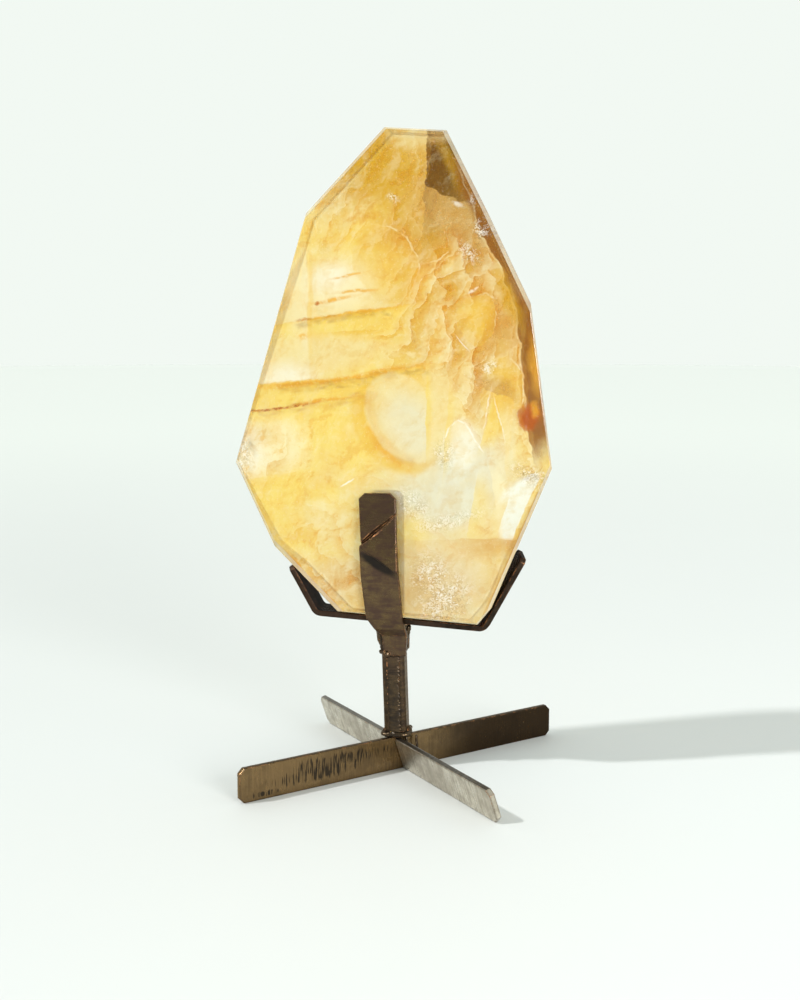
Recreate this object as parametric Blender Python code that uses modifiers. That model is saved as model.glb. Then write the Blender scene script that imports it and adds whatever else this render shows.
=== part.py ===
"""Golden healer quartz: a polished, faceted slab on a welded flat-bar stand.

Metres, +Z up. The origin is on the floor at the middle of the crossed legs, under the long
leg bar. The slab's polished front face looks along -Y, and X runs to its right.
The stand is made of one stock, a 19 x 3.2 mm flat bar, and a 12.7 mm square post.
"""
import math
from dataclasses import dataclass

import bmesh
import bpy
from mathutils import Matrix, Vector

# Flat bar stock and the running gap between touching solids
BAR_WIDTH = 0.019
BAR_THICKNESS = 0.0032
BAR_EDGE_RADIUS = 0.0005
GAP = 0.0003

# Quartz slab
SLAB_THICKNESS = 0.022
SLAB_FRONT_Y = -SLAB_THICKNESS / 2
SLAB_BACK_Y = SLAB_THICKNESS / 2
CHAMFER_DEPTH = 0.0018
GIRDLE_Y = SLAB_FRONT_Y + CHAMFER_DEPTH
BACK_FACET_DEPTH = 0.0012
BACK_FACET_WIDTH = 0.0014

# Crossed legs: the long bar runs through, the two short ones butt against it
LONG_BAR_ANGLE = math.radians(43.8)
LONG_BAR_LENGTH = 0.2098
SHORT_LEG_ROLL = math.radians(18.7)
FRONT_LEG_ANGLE = math.radians(-50.7)
FRONT_LEG_REACH = 0.0986
FRONT_LEG_SIDESTEP = 0.0036
BACK_LEG_ANGLE = math.radians(129.5)
BACK_LEG_REACH = 0.0946
BACK_LEG_SIDESTEP = 0.0030
LEG_CORNER_CUT = 0.0028

# Post, which leans a little to the left, with a weld bead down its front
POST_SIDE = 0.0127
POST_CORNER_RADIUS = 0.0022
POST_BOTTOM_Z = BAR_WIDTH + GAP
POST_TOP_Z = 0.0841
POST_BOTTOM_X = -0.0045
POST_TOP_X = -0.0066
POST_HALF = POST_SIDE / 2
BEAD_WIDTH = 0.0072
BEAD_PROUD = 0.0007
BEAD_ROOT_DEPTH = 0.001
BEAD_EDGE_RADIUS = 0.0004
BEAD_BOTTOM_Z = 0.0225
BEAD_TOP_Z = 0.0650

# Cradle strap: the lower corner points of its front edge, in X and Z
CRADLE_FRONT_Y = -0.0095
CRADLE_LEFT_TIP = (-0.0645, 0.1141)
CRADLE_LEFT_CORNER = (-0.0497, 0.0874)
CRADLE_RIGHT_CORNER = (0.0465, 0.0819)
CRADLE_RIGHT_TIP = (0.0682, 0.1222)
CRADLE_BEND_RADIUS = 0.0062
CRADLE_RIGHT_TWIST = math.radians(14.0)
CRADLE_TIP_CUT = 0.0022
BEND_STEPS = 4

# Front prong: stations of the lower strip, each (Z, inner face Y, left X, right X)
PRONG_LOWER_STRIP = (
    (0.0665, -0.0067, -0.0104, 0.0020),
    (0.0735, -0.0067, -0.0106, 0.0024),
    (0.0785, -0.0067, -0.0116, 0.0027),
    (0.0826, -0.0094, -0.0154, 0.0020),
    (0.0885, -0.0115, -0.0193, 0.0008),
    (0.0990, -0.0123, -0.0205, 0.0002),
    (0.1120, -0.0131, -0.0219, -0.0009),
    (0.1290, -0.0140, -0.0226, -0.0017),
)
# The upper plate laps over the lower strip; its corners are in X and Z
PRONG_PLATE_OUTLINE = (
    (-0.0231, 0.1543),
    (-0.0200, 0.1574),
    (-0.0059, 0.1576),
    (-0.0027, 0.1546),
    (-0.0012, 0.1142),
    (-0.0214, 0.1269),
)
PRONG_PLATE_TIP_Y = SLAB_FRONT_Y - GAP - BAR_THICKNESS / 2
PRONG_PLATE_LEAN = math.radians(6.0)
PRONG_PLATE_TOP_Z = 0.1576
GROOVE_LEFT = (-0.0226, 0.1290)
GROOVE_RIGHT = (-0.0016, 0.1472)
GROOVE_WIDTH = 0.0030

# Back prong: the same stock, bent once, straight up the middle of the slab's back
BACK_PRONG_STRIP = (
    (0.0665, 0.0067, -0.0112, 0.0010),
    (0.0780, 0.0067, -0.0118, 0.0012),
    (0.0826, 0.0101, -0.0160, 0.0010),
    (0.0885, 0.0128, -0.0205, -0.0015),
    (0.1250, 0.0128, -0.0207, -0.0017),
    (0.1540, 0.0114, -0.0208, -0.0018),
    (0.1568, 0.01128, -0.0180, -0.0046),
)


@dataclass(frozen=True)
class Facet:
    """One edge of the slab's outline, from this corner to the next, clockwise from the front."""

    x: float
    z: float
    chamfer: float
    wall_slope: float


# Corner, front chamfer width, and inward slope of the wall in degrees
SLAB_FACETS = (
    Facet(-0.0096, 0.3509, 0.0010, 6.0),
    Facet(0.0234, 0.3486, 0.0020, 9.0),
    Facet(0.0458, 0.3054, 0.0021, 9.0),
    Facet(0.0684, 0.2592, 0.0006, 8.0),
    Facet(0.0808, 0.1723, 0.0017, 13.0),
    Facet(0.0493, 0.0954, 0.0010, 13.0),
    Facet(0.0417, 0.0858, 0.0010, 0.0),
    Facet(-0.0364, 0.0902, 0.0030, 12.0),
    Facet(-0.0721, 0.1260, 0.0019, 12.0),
    Facet(-0.0936, 0.1726, 0.0006, 8.0),
    Facet(-0.0523, 0.3071, 0.0018, 10.0),
)

# Two broad facets that thin the slab towards its left and right corners, by three points each
SIDE_FACETS = (
    ((-0.0539, 0.0110, 0.2500), (-0.0539, 0.0110, 0.1700), (-0.0925, -0.0045, 0.1726)),
    ((0.0530, 0.0110, 0.1300), (0.0570, 0.0110, 0.1800), (0.0795, -0.0010, 0.1723)),
)


@dataclass(frozen=True)
class WeldLump:
    """A lump of weld metal: its middle, and its half sizes along X, Y and Z."""

    name: str
    middle: tuple
    radii: tuple


# Weld lumps around the post's base and under the strap, and the one at the front prong's foot
POST_WELDS = (
    WeldLump("left_base_weld", (POST_BOTTOM_X - POST_HALF, -0.0035, 0.0205), (0.0017, 0.0032, 0.0028)),
    WeldLump("right_base_weld", (POST_BOTTOM_X + POST_HALF, 0.0010, 0.0205), (0.0021, 0.0042, 0.0032)),
    WeldLump("front_base_weld", (POST_BOTTOM_X + 0.0015, -POST_HALF, 0.0203), (0.0052, 0.0022, 0.0022)),
    WeldLump("back_base_weld", (POST_BOTTOM_X, POST_HALF, 0.0203), (0.0050, 0.0022, 0.0022)),
    WeldLump("left_top_weld", (POST_TOP_X - POST_HALF, -0.0005, 0.0785), (0.0032, 0.0055, 0.0095)),
    WeldLump("right_top_weld", (POST_TOP_X + POST_HALF, -0.0005, 0.0765), (0.0018, 0.0050, 0.0066)),
)
PRONG_FOOT_WELD = WeldLump("prong_foot_weld", (-0.0088, -0.0098, 0.0672), (0.0022, 0.0016, 0.0021))

# Cutters and blanks, all larger than what they cut
BLANK_WIDTH = 0.24
BLANK_HEIGHT = 0.34
BLANK_MIDDLE_Z = 0.22
BUTT_CUTTER_SIDE = 0.30
LEG_OVERRUN = 0.01
TRIM_REACH = 0.05
GROOVE_CUTTER_LENGTH = 0.06

# Colour, roughness and metallic value of each finish
QUARTZ_FINISH = ((0.90, 0.62, 0.22, 1.0), 0.08, 0.0)
LIGHT_BRONZE_FINISH = ((0.16, 0.105, 0.062, 1.0), 0.36, 0.85)
DARK_BRONZE_FINISH = ((0.075, 0.052, 0.038, 1.0), 0.34, 0.85)
GREY_BRONZE_FINISH = ((0.13, 0.10, 0.085, 1.0), 0.38, 0.85)


def clear_scene():
    """Remove whatever the opened file holds."""
    for item in list(bpy.data.objects):
        bpy.data.objects.remove(item, do_unlink=True)


def new_collection(name, hidden=False):
    """Add a collection to the scene; a hidden one holds the cutters."""
    collection = bpy.data.collections.new(name)
    bpy.context.scene.collection.children.link(collection)
    collection.hide_render = hidden
    return collection


def metal_or_stone(name, finish):
    """Make a Principled material from its colour, roughness and metallic value."""
    colour, roughness, metallic = finish
    material = bpy.data.materials.new(name)
    material.use_nodes = True
    shader = material.node_tree.nodes["Principled BSDF"]
    shader.inputs["Base Color"].default_value = colour
    shader.inputs["Roughness"].default_value = roughness
    shader.inputs["Metallic"].default_value = metallic
    return material


def add_mesh_object(name, bm, collection, material=None):
    """Turn a bmesh into an object of the collection."""
    mesh = bpy.data.meshes.new(name)
    bm.to_mesh(mesh)
    bm.free()
    item = bpy.data.objects.new(name, mesh)
    collection.objects.link(item)
    if material:
        mesh.materials.append(material)
    return item


def as_cutter(item):
    """Show a cutter as wire and keep it out of renders."""
    item.display_type = "WIRE"
    item.hide_render = True
    return item


def add_boolean(item, other, operation):
    """Join or cut an object with another one."""
    modifier = item.modifiers.new(operation.title(), "BOOLEAN")
    modifier.operation = operation
    modifier.object = other
    modifier.solver = "EXACT"


def add_bevel(item, width, segments=2):
    """Round an object's sharp edges."""
    modifier = item.modifiers.new("Edge rounding", "BEVEL")
    modifier.width = width
    modifier.segments = segments
    modifier.limit_method = "ANGLE"
    modifier.angle_limit = math.radians(50)


def add_bar_thickness(item):
    """Give a flat strip surface the thickness of the bar stock, and its rounded edges."""
    modifier = item.modifiers.new("Bar thickness", "SOLIDIFY")
    modifier.thickness = BAR_THICKNESS
    modifier.offset = 0.0
    modifier.use_even_offset = True
    add_bevel(item, BAR_EDGE_RADIUS)


def add_strip(name, rails, collection, material=None):
    """Build a bar from pairs of points along the two edges of its middle surface."""
    bm = bmesh.new()
    pairs = [(bm.verts.new(first), bm.verts.new(second)) for first, second in rails]
    for (a, b), (c, d) in zip(pairs, pairs[1:]):
        bm.faces.new((a, b, d, c))
    item = add_mesh_object(name, bm, collection, material)
    add_bar_thickness(item)
    return item


def cut_off(bm, point, normal):
    """Grind the solid flat: remove what is past a plane, and close the cut."""
    whole = bm.verts[:] + bm.edges[:] + bm.faces[:]
    bmesh.ops.bisect_plane(
        bm, geom=whole, dist=1e-7, plane_co=point, plane_no=normal, clear_outer=True
    )
    bmesh.ops.holes_fill(bm, edges=[edge for edge in bm.edges if edge.is_boundary])


def slab_blank():
    """A block that the slab is ground from."""
    bm = bmesh.new()
    bmesh.ops.create_cube(bm, size=1.0)
    size = Matrix.Diagonal((BLANK_WIDTH, SLAB_THICKNESS, BLANK_HEIGHT, 1.0))
    place = Matrix.Translation((0, 0, BLANK_MIDDLE_Z)) @ size
    bmesh.ops.transform(bm, matrix=place, verts=bm.verts)
    return bm


def grind_edge(bm, facet, following):
    """Grind the front chamfer, the wall and the narrow back facet along one edge of the outline."""
    corner = Vector((facet.x, GIRDLE_Y, facet.z))
    along = Vector((following.x - facet.x, 0, following.z - facet.z)).normalized()
    outward = Vector((-along.z, 0, along.x))
    slope = math.tan(math.radians(facet.wall_slope))
    cut_off(bm, corner, outward + Vector((0, slope, 0)))
    cut_off(bm, corner, outward * CHAMFER_DEPTH - Vector((0, facet.chamfer, 0)))
    back_start_y = SLAB_BACK_Y - BACK_FACET_DEPTH
    inset = slope * (back_start_y - GIRDLE_Y)
    start = Vector((facet.x, back_start_y, facet.z)) - outward * inset
    lean = BACK_FACET_WIDTH + slope * BACK_FACET_DEPTH
    cut_off(bm, start, outward * BACK_FACET_DEPTH + Vector((0, lean, 0)))


def grind_side_facet(bm, points):
    """Grind a broad facet through three points on the slab's back."""
    first, second, third = (Vector(point) for point in points)
    normal = (second - first).cross(third - first)
    if normal.y < 0:
        normal.negate()
    cut_off(bm, first, normal)


def build_quartz(collection):
    """The slab: one faceted solid, ground on all sides from a block."""
    bm = slab_blank()
    for index, facet in enumerate(SLAB_FACETS):
        grind_edge(bm, facet, SLAB_FACETS[(index + 1) % len(SLAB_FACETS)])
    for points in SIDE_FACETS:
        grind_side_facet(bm, points)
    bmesh.ops.recalc_face_normals(bm, faces=bm.faces)
    return add_mesh_object("quartz", bm, collection, metal_or_stone("quartz", QUARTZ_FINISH))


def standing_bar_rails(centre, along, up, start, end, cut_start, cut_end):
    """Edge points of a bar that stands on edge, with its end corners cut where asked."""
    half = BAR_WIDTH / 2
    cut = LEG_CORNER_CUT
    stations = [(start, half - cut), (start + cut, half)] if cut_start else [(start, half)]
    stations += [(end - cut, half), (end, half - cut)] if cut_end else [(end, half)]
    return [(centre + along * s - up * w, centre + along * s + up * w) for s, w in stations]


def build_long_leg_bar(collection):
    """The leg bar that runs through, standing on edge."""
    along = Vector((math.cos(LONG_BAR_ANGLE), math.sin(LONG_BAR_ANGLE), 0))
    centre = Vector((0, 0, BAR_WIDTH / 2))
    half = LONG_BAR_LENGTH / 2
    rails = standing_bar_rails(centre, along, Vector((0, 0, 1)), -half, half, True, True)
    material = metal_or_stone("long leg bar", LIGHT_BRONZE_FINISH)
    return add_strip("long_leg_bar", rails, collection, material)


def add_half_space(name, centre, rotation, collection):
    """A cutter block whose near face passes through a point, square to its local X axis."""
    bm = bmesh.new()
    bmesh.ops.create_cube(bm, size=BUTT_CUTTER_SIDE)
    turn = Matrix.Rotation(rotation, 4, "Z")
    place = Matrix.Translation(centre) @ turn @ Matrix.Translation((-BUTT_CUTTER_SIDE / 2, 0, 0))
    bmesh.ops.transform(bm, matrix=place, verts=bm.verts)
    return as_cutter(add_mesh_object(name, bm, collection))


def build_short_leg(name, angle, reach, sidestep, parts, cutters):
    """A short leg: rolled over to one side, and butted against the long bar's face."""
    along = Vector((math.cos(angle), math.sin(angle), 0))
    lean_sign = 1 if along.x > 0 else -1
    sideways = Vector((along.y, -along.x, 0)) * lean_sign
    up = sideways * math.sin(SHORT_LEG_ROLL) + Vector((0, 0, math.cos(SHORT_LEG_ROLL)))
    lift = (BAR_WIDTH * math.cos(SHORT_LEG_ROLL) + BAR_THICKNESS * math.sin(SHORT_LEG_ROLL)) / 2
    centre = sideways * sidestep + Vector((0, 0, lift))
    rails = standing_bar_rails(centre, along, up, -LEG_OVERRUN, reach, False, True)
    leg = add_strip(name, rails, parts, metal_or_stone(name, GREY_BRONZE_FINISH))
    face_direction = LONG_BAR_ANGLE - math.radians(90) * lean_sign
    face = Vector((math.cos(face_direction), math.sin(face_direction), 0))
    butt = add_half_space(
        f"{name}_butt_cut", face * (BAR_THICKNESS / 2 + GAP), face_direction, cutters
    )
    add_boolean(leg, butt, "DIFFERENCE")
    return leg


def join_weld_lump(item, lump, cutters):
    """Join a lump of weld metal to the piece that it grew on."""
    bm = bmesh.new()
    bmesh.ops.create_icosphere(bm, subdivisions=2, radius=1.0)
    shape = Matrix.Translation(lump.middle) @ Matrix.Diagonal((*lump.radii, 1.0))
    bmesh.ops.transform(bm, matrix=shape, verts=bm.verts)
    add_boolean(item, as_cutter(add_mesh_object(lump.name, bm, cutters)), "UNION")


def add_block(name, low, high, collection):
    """A plain block between two corners, for joining or cutting."""
    bm = bmesh.new()
    bmesh.ops.create_cube(bm, size=1.0)
    low, high = Vector(low), Vector(high)
    size = Matrix.Diagonal((*(high - low), 1.0))
    bmesh.ops.transform(bm, matrix=Matrix.Translation((low + high) / 2) @ size, verts=bm.verts)
    return as_cutter(add_mesh_object(name, bm, collection))


def post_centre_x(z):
    """The post leans a little: its middle's X at a height."""
    share = (z - POST_BOTTOM_Z) / (POST_TOP_Z - POST_BOTTOM_Z)
    return POST_BOTTOM_X + share * (POST_TOP_X - POST_BOTTOM_X)


def build_post(parts, cutters):
    """The square post, with the weld bead down its front and weld lumps at both ends."""
    bm = bmesh.new()
    bmesh.ops.create_cube(bm, size=1.0)
    for vert in bm.verts:
        z = POST_TOP_Z if vert.co.z > 0 else POST_BOTTOM_Z
        vert.co = (post_centre_x(z) + vert.co.x * POST_SIDE, vert.co.y * POST_SIDE, z)
    uprights = [e for e in bm.edges if abs(e.verts[0].co.z - e.verts[1].co.z) > POST_SIDE]
    bmesh.ops.bevel(
        bm, geom=uprights, offset=POST_CORNER_RADIUS, segments=3, profile=0.5, affect="EDGES"
    )
    post = add_mesh_object("post", bm, parts, metal_or_stone("post", GREY_BRONZE_FINISH))
    bead = add_block(
        "post_bead",
        (post_centre_x(BEAD_BOTTOM_Z) - BEAD_WIDTH / 2, -POST_HALF - BEAD_PROUD, BEAD_BOTTOM_Z),
        (post_centre_x(BEAD_TOP_Z) + BEAD_WIDTH / 2, -POST_HALF + BEAD_ROOT_DEPTH, BEAD_TOP_Z),
        cutters,
    )
    add_bevel(bead, BEAD_EDGE_RADIUS)
    add_boolean(post, bead, "UNION")
    for lump in POST_WELDS:
        join_weld_lump(post, lump, cutters)
    trims = (("post_foot_cut", 0.0, POST_BOTTOM_Z), ("post_head_cut", POST_TOP_Z, 2 * POST_TOP_Z))
    for name, low_z, high_z in trims:
        low = (-TRIM_REACH, -TRIM_REACH, low_z)
        high = (TRIM_REACH, TRIM_REACH, high_z)
        add_boolean(post, add_block(name, low, high, cutters), "DIFFERENCE")
    return post


def bend_points(before, corner, after, radius):
    """Points of the arc that rounds a corner of a path, in X and Z."""
    to_before = (before - corner).normalized()
    to_after = (after - corner).normalized()
    half_angle = to_before.angle(to_after) / 2
    reach = radius / math.tan(half_angle)
    centre = corner + (to_before + to_after).normalized() * (radius / math.sin(half_angle))
    first = corner + to_before * reach - centre
    last = corner + to_after * reach - centre
    sweep = first.angle_signed(last)
    points = []
    for step in range(BEND_STEPS + 1):
        turn = Matrix.Rotation(-sweep * step / BEND_STEPS, 2)
        points.append(centre + turn @ first)
    return points


def build_cradle_strap(collection):
    """The strap that the slab sits in: a flat run, two bent arms, the right one twisted."""
    corners = (CRADLE_LEFT_TIP, CRADLE_LEFT_CORNER, CRADLE_RIGHT_CORNER, CRADLE_RIGHT_TIP)
    left_tip, left, right, right_tip = (Vector(point) for point in corners)
    left_bend = bend_points(left_tip, left, right, CRADLE_BEND_RADIUS)
    right_bend = bend_points(left, right, right_tip, CRADLE_BEND_RADIUS)
    cut = CRADLE_TIP_CUT
    left_cut = left_tip + (left - left_tip).normalized() * cut
    right_cut = right_tip + (right - right_tip).normalized() * cut
    path = [left_tip, left_cut, *left_bend, *right_bend, right_cut, right_tip]
    bend_start = 2 + len(left_bend)
    rails = []
    for index, point in enumerate(path):
        before = path[max(index - 1, 0)]
        after = path[min(index + 1, len(path) - 1)]
        run = (after - before).normalized()
        inward = Vector((-run.y, 0, run.x))
        share = min(max((index - bend_start) / BEND_STEPS, 0.0), 1.0)
        twist = CRADLE_RIGHT_TWIST * share
        across = Vector((0, math.cos(twist), 0)) + inward * math.sin(twist)
        lower = Vector((point.x, CRADLE_FRONT_Y, point.y))
        edge = lower + inward * BAR_THICKNESS / 2
        trim = cut if index in (0, len(path) - 1) else 0.0
        rails.append((edge + across * trim, edge + across * (BAR_WIDTH - trim)))
    material = metal_or_stone("cradle strap", DARK_BRONZE_FINISH)
    return add_strip("cradle_strap", rails, collection, material)


def prong_rails(stations, side):
    """Edge points of a prong's middle surface; side is -1 in front of the slab, 1 behind."""
    rails = []
    for z, inner_y, left_x, right_x in stations:
        y = inner_y + side * BAR_THICKNESS / 2
        rails.append((Vector((left_x, y, z)), Vector((right_x, y, z))))
    return rails


def add_prong_plate(cutters):
    """The front prong's upper plate, leaning its tip against the slab."""
    bm = bmesh.new()
    verts = []
    for x, z in PRONG_PLATE_OUTLINE:
        drop = PRONG_PLATE_TOP_Z - z
        y = PRONG_PLATE_TIP_Y - drop * math.tan(PRONG_PLATE_LEAN)
        verts.append(bm.verts.new((x, y, z)))
    bm.faces.new(verts)
    plate = as_cutter(add_mesh_object("front_prong_plate", bm, cutters))
    add_bar_thickness(plate)
    return plate


def add_groove_cutter(cutters):
    """A square bar laid on edge, which cuts the V groove across the front prong."""
    left = Vector((GROOVE_LEFT[0], 0, GROOVE_LEFT[1]))
    right = Vector((GROOVE_RIGHT[0], 0, GROOVE_RIGHT[1]))
    middle = (left + right) / 2
    drop = PRONG_PLATE_TOP_Z - middle.z
    middle.y = PRONG_PLATE_TIP_Y - drop * math.tan(PRONG_PLATE_LEAN) - BAR_THICKNESS / 2
    along = (right - left).normalized()
    side = GROOVE_WIDTH / math.sqrt(2)
    bm = bmesh.new()
    bmesh.ops.create_cube(bm, size=1.0)
    turn = Vector((1, 0, 0)).rotation_difference(along).to_matrix().to_4x4()
    roll = Matrix.Rotation(math.radians(45), 4, "X")
    size = Matrix.Diagonal((GROOVE_CUTTER_LENGTH, side, side, 1.0))
    place = Matrix.Translation(middle) @ turn @ roll @ size
    bmesh.ops.transform(bm, matrix=place, verts=bm.verts)
    return as_cutter(add_mesh_object("front_prong_groove", bm, cutters))


def build_front_prong(parts, cutters):
    """The front prong: a strip up from the post, a plate lapped over it, and a V groove."""
    material = metal_or_stone("front prong", DARK_BRONZE_FINISH)
    prong = add_strip("front_prong", prong_rails(PRONG_LOWER_STRIP, -1), parts, material)
    add_boolean(prong, add_prong_plate(cutters), "UNION")
    add_boolean(prong, add_groove_cutter(cutters), "DIFFERENCE")
    join_weld_lump(prong, PRONG_FOOT_WELD, cutters)
    return prong


def build_back_prong(collection):
    """The back prong, which holds the slab against the front one."""
    material = metal_or_stone("back prong", DARK_BRONZE_FINISH)
    return add_strip("back_prong", prong_rails(BACK_PRONG_STRIP, 1), collection, material)


def main():
    """Build every piece of the slab and its stand."""
    clear_scene()
    parts = new_collection("Golden healer quartz")
    cutters = new_collection("Cutters", hidden=True)
    build_quartz(parts)
    build_long_leg_bar(parts)
    build_short_leg(
        "front_right_leg", FRONT_LEG_ANGLE, FRONT_LEG_REACH, FRONT_LEG_SIDESTEP, parts, cutters
    )
    build_short_leg(
        "back_left_leg", BACK_LEG_ANGLE, BACK_LEG_REACH, BACK_LEG_SIDESTEP, parts, cutters
    )
    build_post(parts, cutters)
    build_cradle_strap(parts)
    build_front_prong(parts, cutters)
    build_back_prong(parts)


main()
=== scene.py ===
"""Looks of a polished golden healer quartz slab on its welded, bronze-brown metal stand.

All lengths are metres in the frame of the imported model: +Z up, the slab's polished face towards -Y,
its right-hand side towards +X. Places on the slab and the bars are given in millimetres, as read by
a maker from a drawing, and turned to metres by MM.
"""

from __future__ import annotations

import logging
import math
from dataclasses import dataclass, field
from enum import Enum
from typing import Callable, Iterable, Sequence

import bmesh
import bpy
from mathutils import Matrix, Vector, noise


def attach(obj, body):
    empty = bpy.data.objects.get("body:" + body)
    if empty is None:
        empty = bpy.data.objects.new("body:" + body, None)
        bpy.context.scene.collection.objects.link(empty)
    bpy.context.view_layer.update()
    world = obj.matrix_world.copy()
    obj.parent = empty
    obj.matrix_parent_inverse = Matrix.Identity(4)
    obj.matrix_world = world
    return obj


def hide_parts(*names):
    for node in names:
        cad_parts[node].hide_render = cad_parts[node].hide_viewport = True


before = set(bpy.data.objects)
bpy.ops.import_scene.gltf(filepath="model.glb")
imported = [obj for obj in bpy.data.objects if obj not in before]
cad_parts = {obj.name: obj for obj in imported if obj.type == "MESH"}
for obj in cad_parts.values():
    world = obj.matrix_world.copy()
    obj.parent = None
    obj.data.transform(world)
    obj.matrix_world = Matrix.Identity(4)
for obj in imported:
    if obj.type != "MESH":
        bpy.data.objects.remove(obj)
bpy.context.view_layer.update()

LOG = logging.getLogger("golden_healer_quartz")
MM = 0.001
BODY = "root"
STONE_SLOT = "golden_quartz"
LEG_SLOT = "leg_bronze"
TEARS_PER_METRE = 190.0
TEAR_NOISE = (0.6, 2.1, 4)
TEAR_DEPTH = 0.9
TEAR_LEVEL = 0.28
TEAR_FALL = 0.8
CROSSWISE = (90.0, 90.0, 520.0)
# Each row of marks: how far along the bar and how high its middle is, then half its length and height.
COMB_ROWS = (
    (-0.044, 0.0125, 0.032, 0.0042),
    (-0.058, 0.0078, 0.030, 0.0038),
    (-0.090, 0.0032, 0.010, 0.0016),
)

Socket = bpy.types.NodeSocket
Rgb = tuple[float, float, float]
Value = float | Rgb | Socket


class StoneTone(Enum):
    """Colours of the stone, as linear red, green and blue."""

    CREAM = (0.90, 0.76, 0.38)
    PALE = (0.95, 0.86, 0.54)
    WHITE = (0.96, 0.93, 0.79)
    MILK = (0.80, 0.80, 0.68)
    YELLOW = (0.93, 0.72, 0.17)
    HONEY = (0.87, 0.57, 0.07)
    GOLD = (0.68, 0.38, 0.010)
    ORANGE = (0.86, 0.44, 0.035)
    AMBER = (0.31, 0.105, 0.001)
    # A painted shadow, dark olive brown, for the upper right of the slab.
    SMOKE = (0.18, 0.078, 0.002)
    ASH = (0.64, 0.58, 0.48)
    RUST = (0.50, 0.10, 0.001)
    ROSE = (0.54, 0.28, 0.075)
    PINK = (0.72, 0.44, 0.12)
    TAN = (0.80, 0.57, 0.25)
    SILVER = (0.93, 0.95, 0.87)
    GLINT = (1.0, 0.99, 0.94)
    SHADE = (0.90, 0.64, 0.20)


class MetalTone(Enum):
    """Colours of the patina, as linear red, green and blue."""

    PEWTER = (0.74, 0.69, 0.58)
    STEEL = (0.40, 0.35, 0.27)
    OCHRE = (0.205, 0.13, 0.055)
    TAN = (0.13, 0.083, 0.036)
    BROWN = (0.085, 0.055, 0.028)
    UMBER = (0.075, 0.042, 0.028)
    DARK = (0.034, 0.024, 0.016)
    SOOT = (0.016, 0.011, 0.008)
    BLACK = (0.008, 0.007, 0.006)
    COPPER = (0.62, 0.27, 0.11)


@dataclass(frozen=True)
class Zone:
    """A soft-edged patch of one tone in the slab, as seen from the front, in millimetres and degrees.

    Half a patch shows only below its own middle line, which is then a crisp edge.
    """

    tone: StoneTone
    across: float
    up: float
    half_width: float
    half_height: float
    turn: float
    softness: float
    strength: float = 1.0
    half: bool = False


@dataclass(frozen=True)
class Lobe:
    """A rounded growth lump in the slab, with a painted highlight and shadow where it bulges, in millimetres
    and degrees.
    """

    tone: StoneTone
    across: float
    up: float
    half_width: float
    half_height: float
    turn: float
    bulge: float
    strength: float
    # How strong the painted shadow beyond the edge and the painted highlight on it are.
    rim: float


@dataclass(frozen=True)
class Layering:
    """Wavy growth layers, each fading from painted shade to painted light and ending in a crisp painted
    highlight.

    They follow one another along the heading, in degrees up from the right, at the spacing, in
    millimetres. The wobble says by how many layers they wander, and the waves how often in a metre.
    """

    tone: StoneTone
    heading: float
    spacing: float
    wobble: float
    waves: float
    strength: float
    area: tuple[Zone, ...]


@dataclass(frozen=True)
class Seam:
    """A healed crack that runs into the slab from a line on its face, in millimetres."""

    tone: StoneTone
    line: tuple[tuple[float, float], ...]
    shallow: float = 1.6
    deep: float = 12.0
    lean: float = 3.0
    ruffle: float = 0.9


@dataclass(frozen=True)
class Veil:
    """A crumpled sheet of tiny fractures inside the slab, in millimetres and degrees."""

    across: float
    up: float
    depth: float
    half_width: float
    half_height: float
    turn: float
    tilt: float
    ruffle: float

    def frame(self) -> tuple[Matrix, Vector]:
        """The veil's own turn and middle.

        Returns:
            Its rotation, and its middle in metres.
        """
        turned = (Matrix.Rotation(-math.radians(self.turn), 3, "Y")
                  @ Matrix.Rotation(math.radians(self.tilt), 3, "X"))
        return turned, in_metres(self.across, self.up, self.depth)

    def reaches(self, point: Vector) -> bool:
        """Whether the torn veil covers a point of its sheet.

        Args:
            point: The point, in metres.

        Returns:
            True if it does.
        """
        turned, middle = self.frame()
        own = turned.transposed() @ (point - middle)
        far = math.hypot(own.x / self.half_width, own.z / self.half_height) / MM
        whole = noise.fractal(point * TEARS_PER_METRE, *TEAR_NOISE) * TEAR_DEPTH + TEAR_LEVEL
        return whole > far ** 2 * TEAR_FALL


@dataclass(frozen=True)
class Weld:
    """A weld bead along a line on the stand, in millimetres, with the way that it faces."""

    line: tuple[tuple[float, float, float], ...]
    facing: tuple[float, float, float]
    half_width: float
    proud: float


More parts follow.
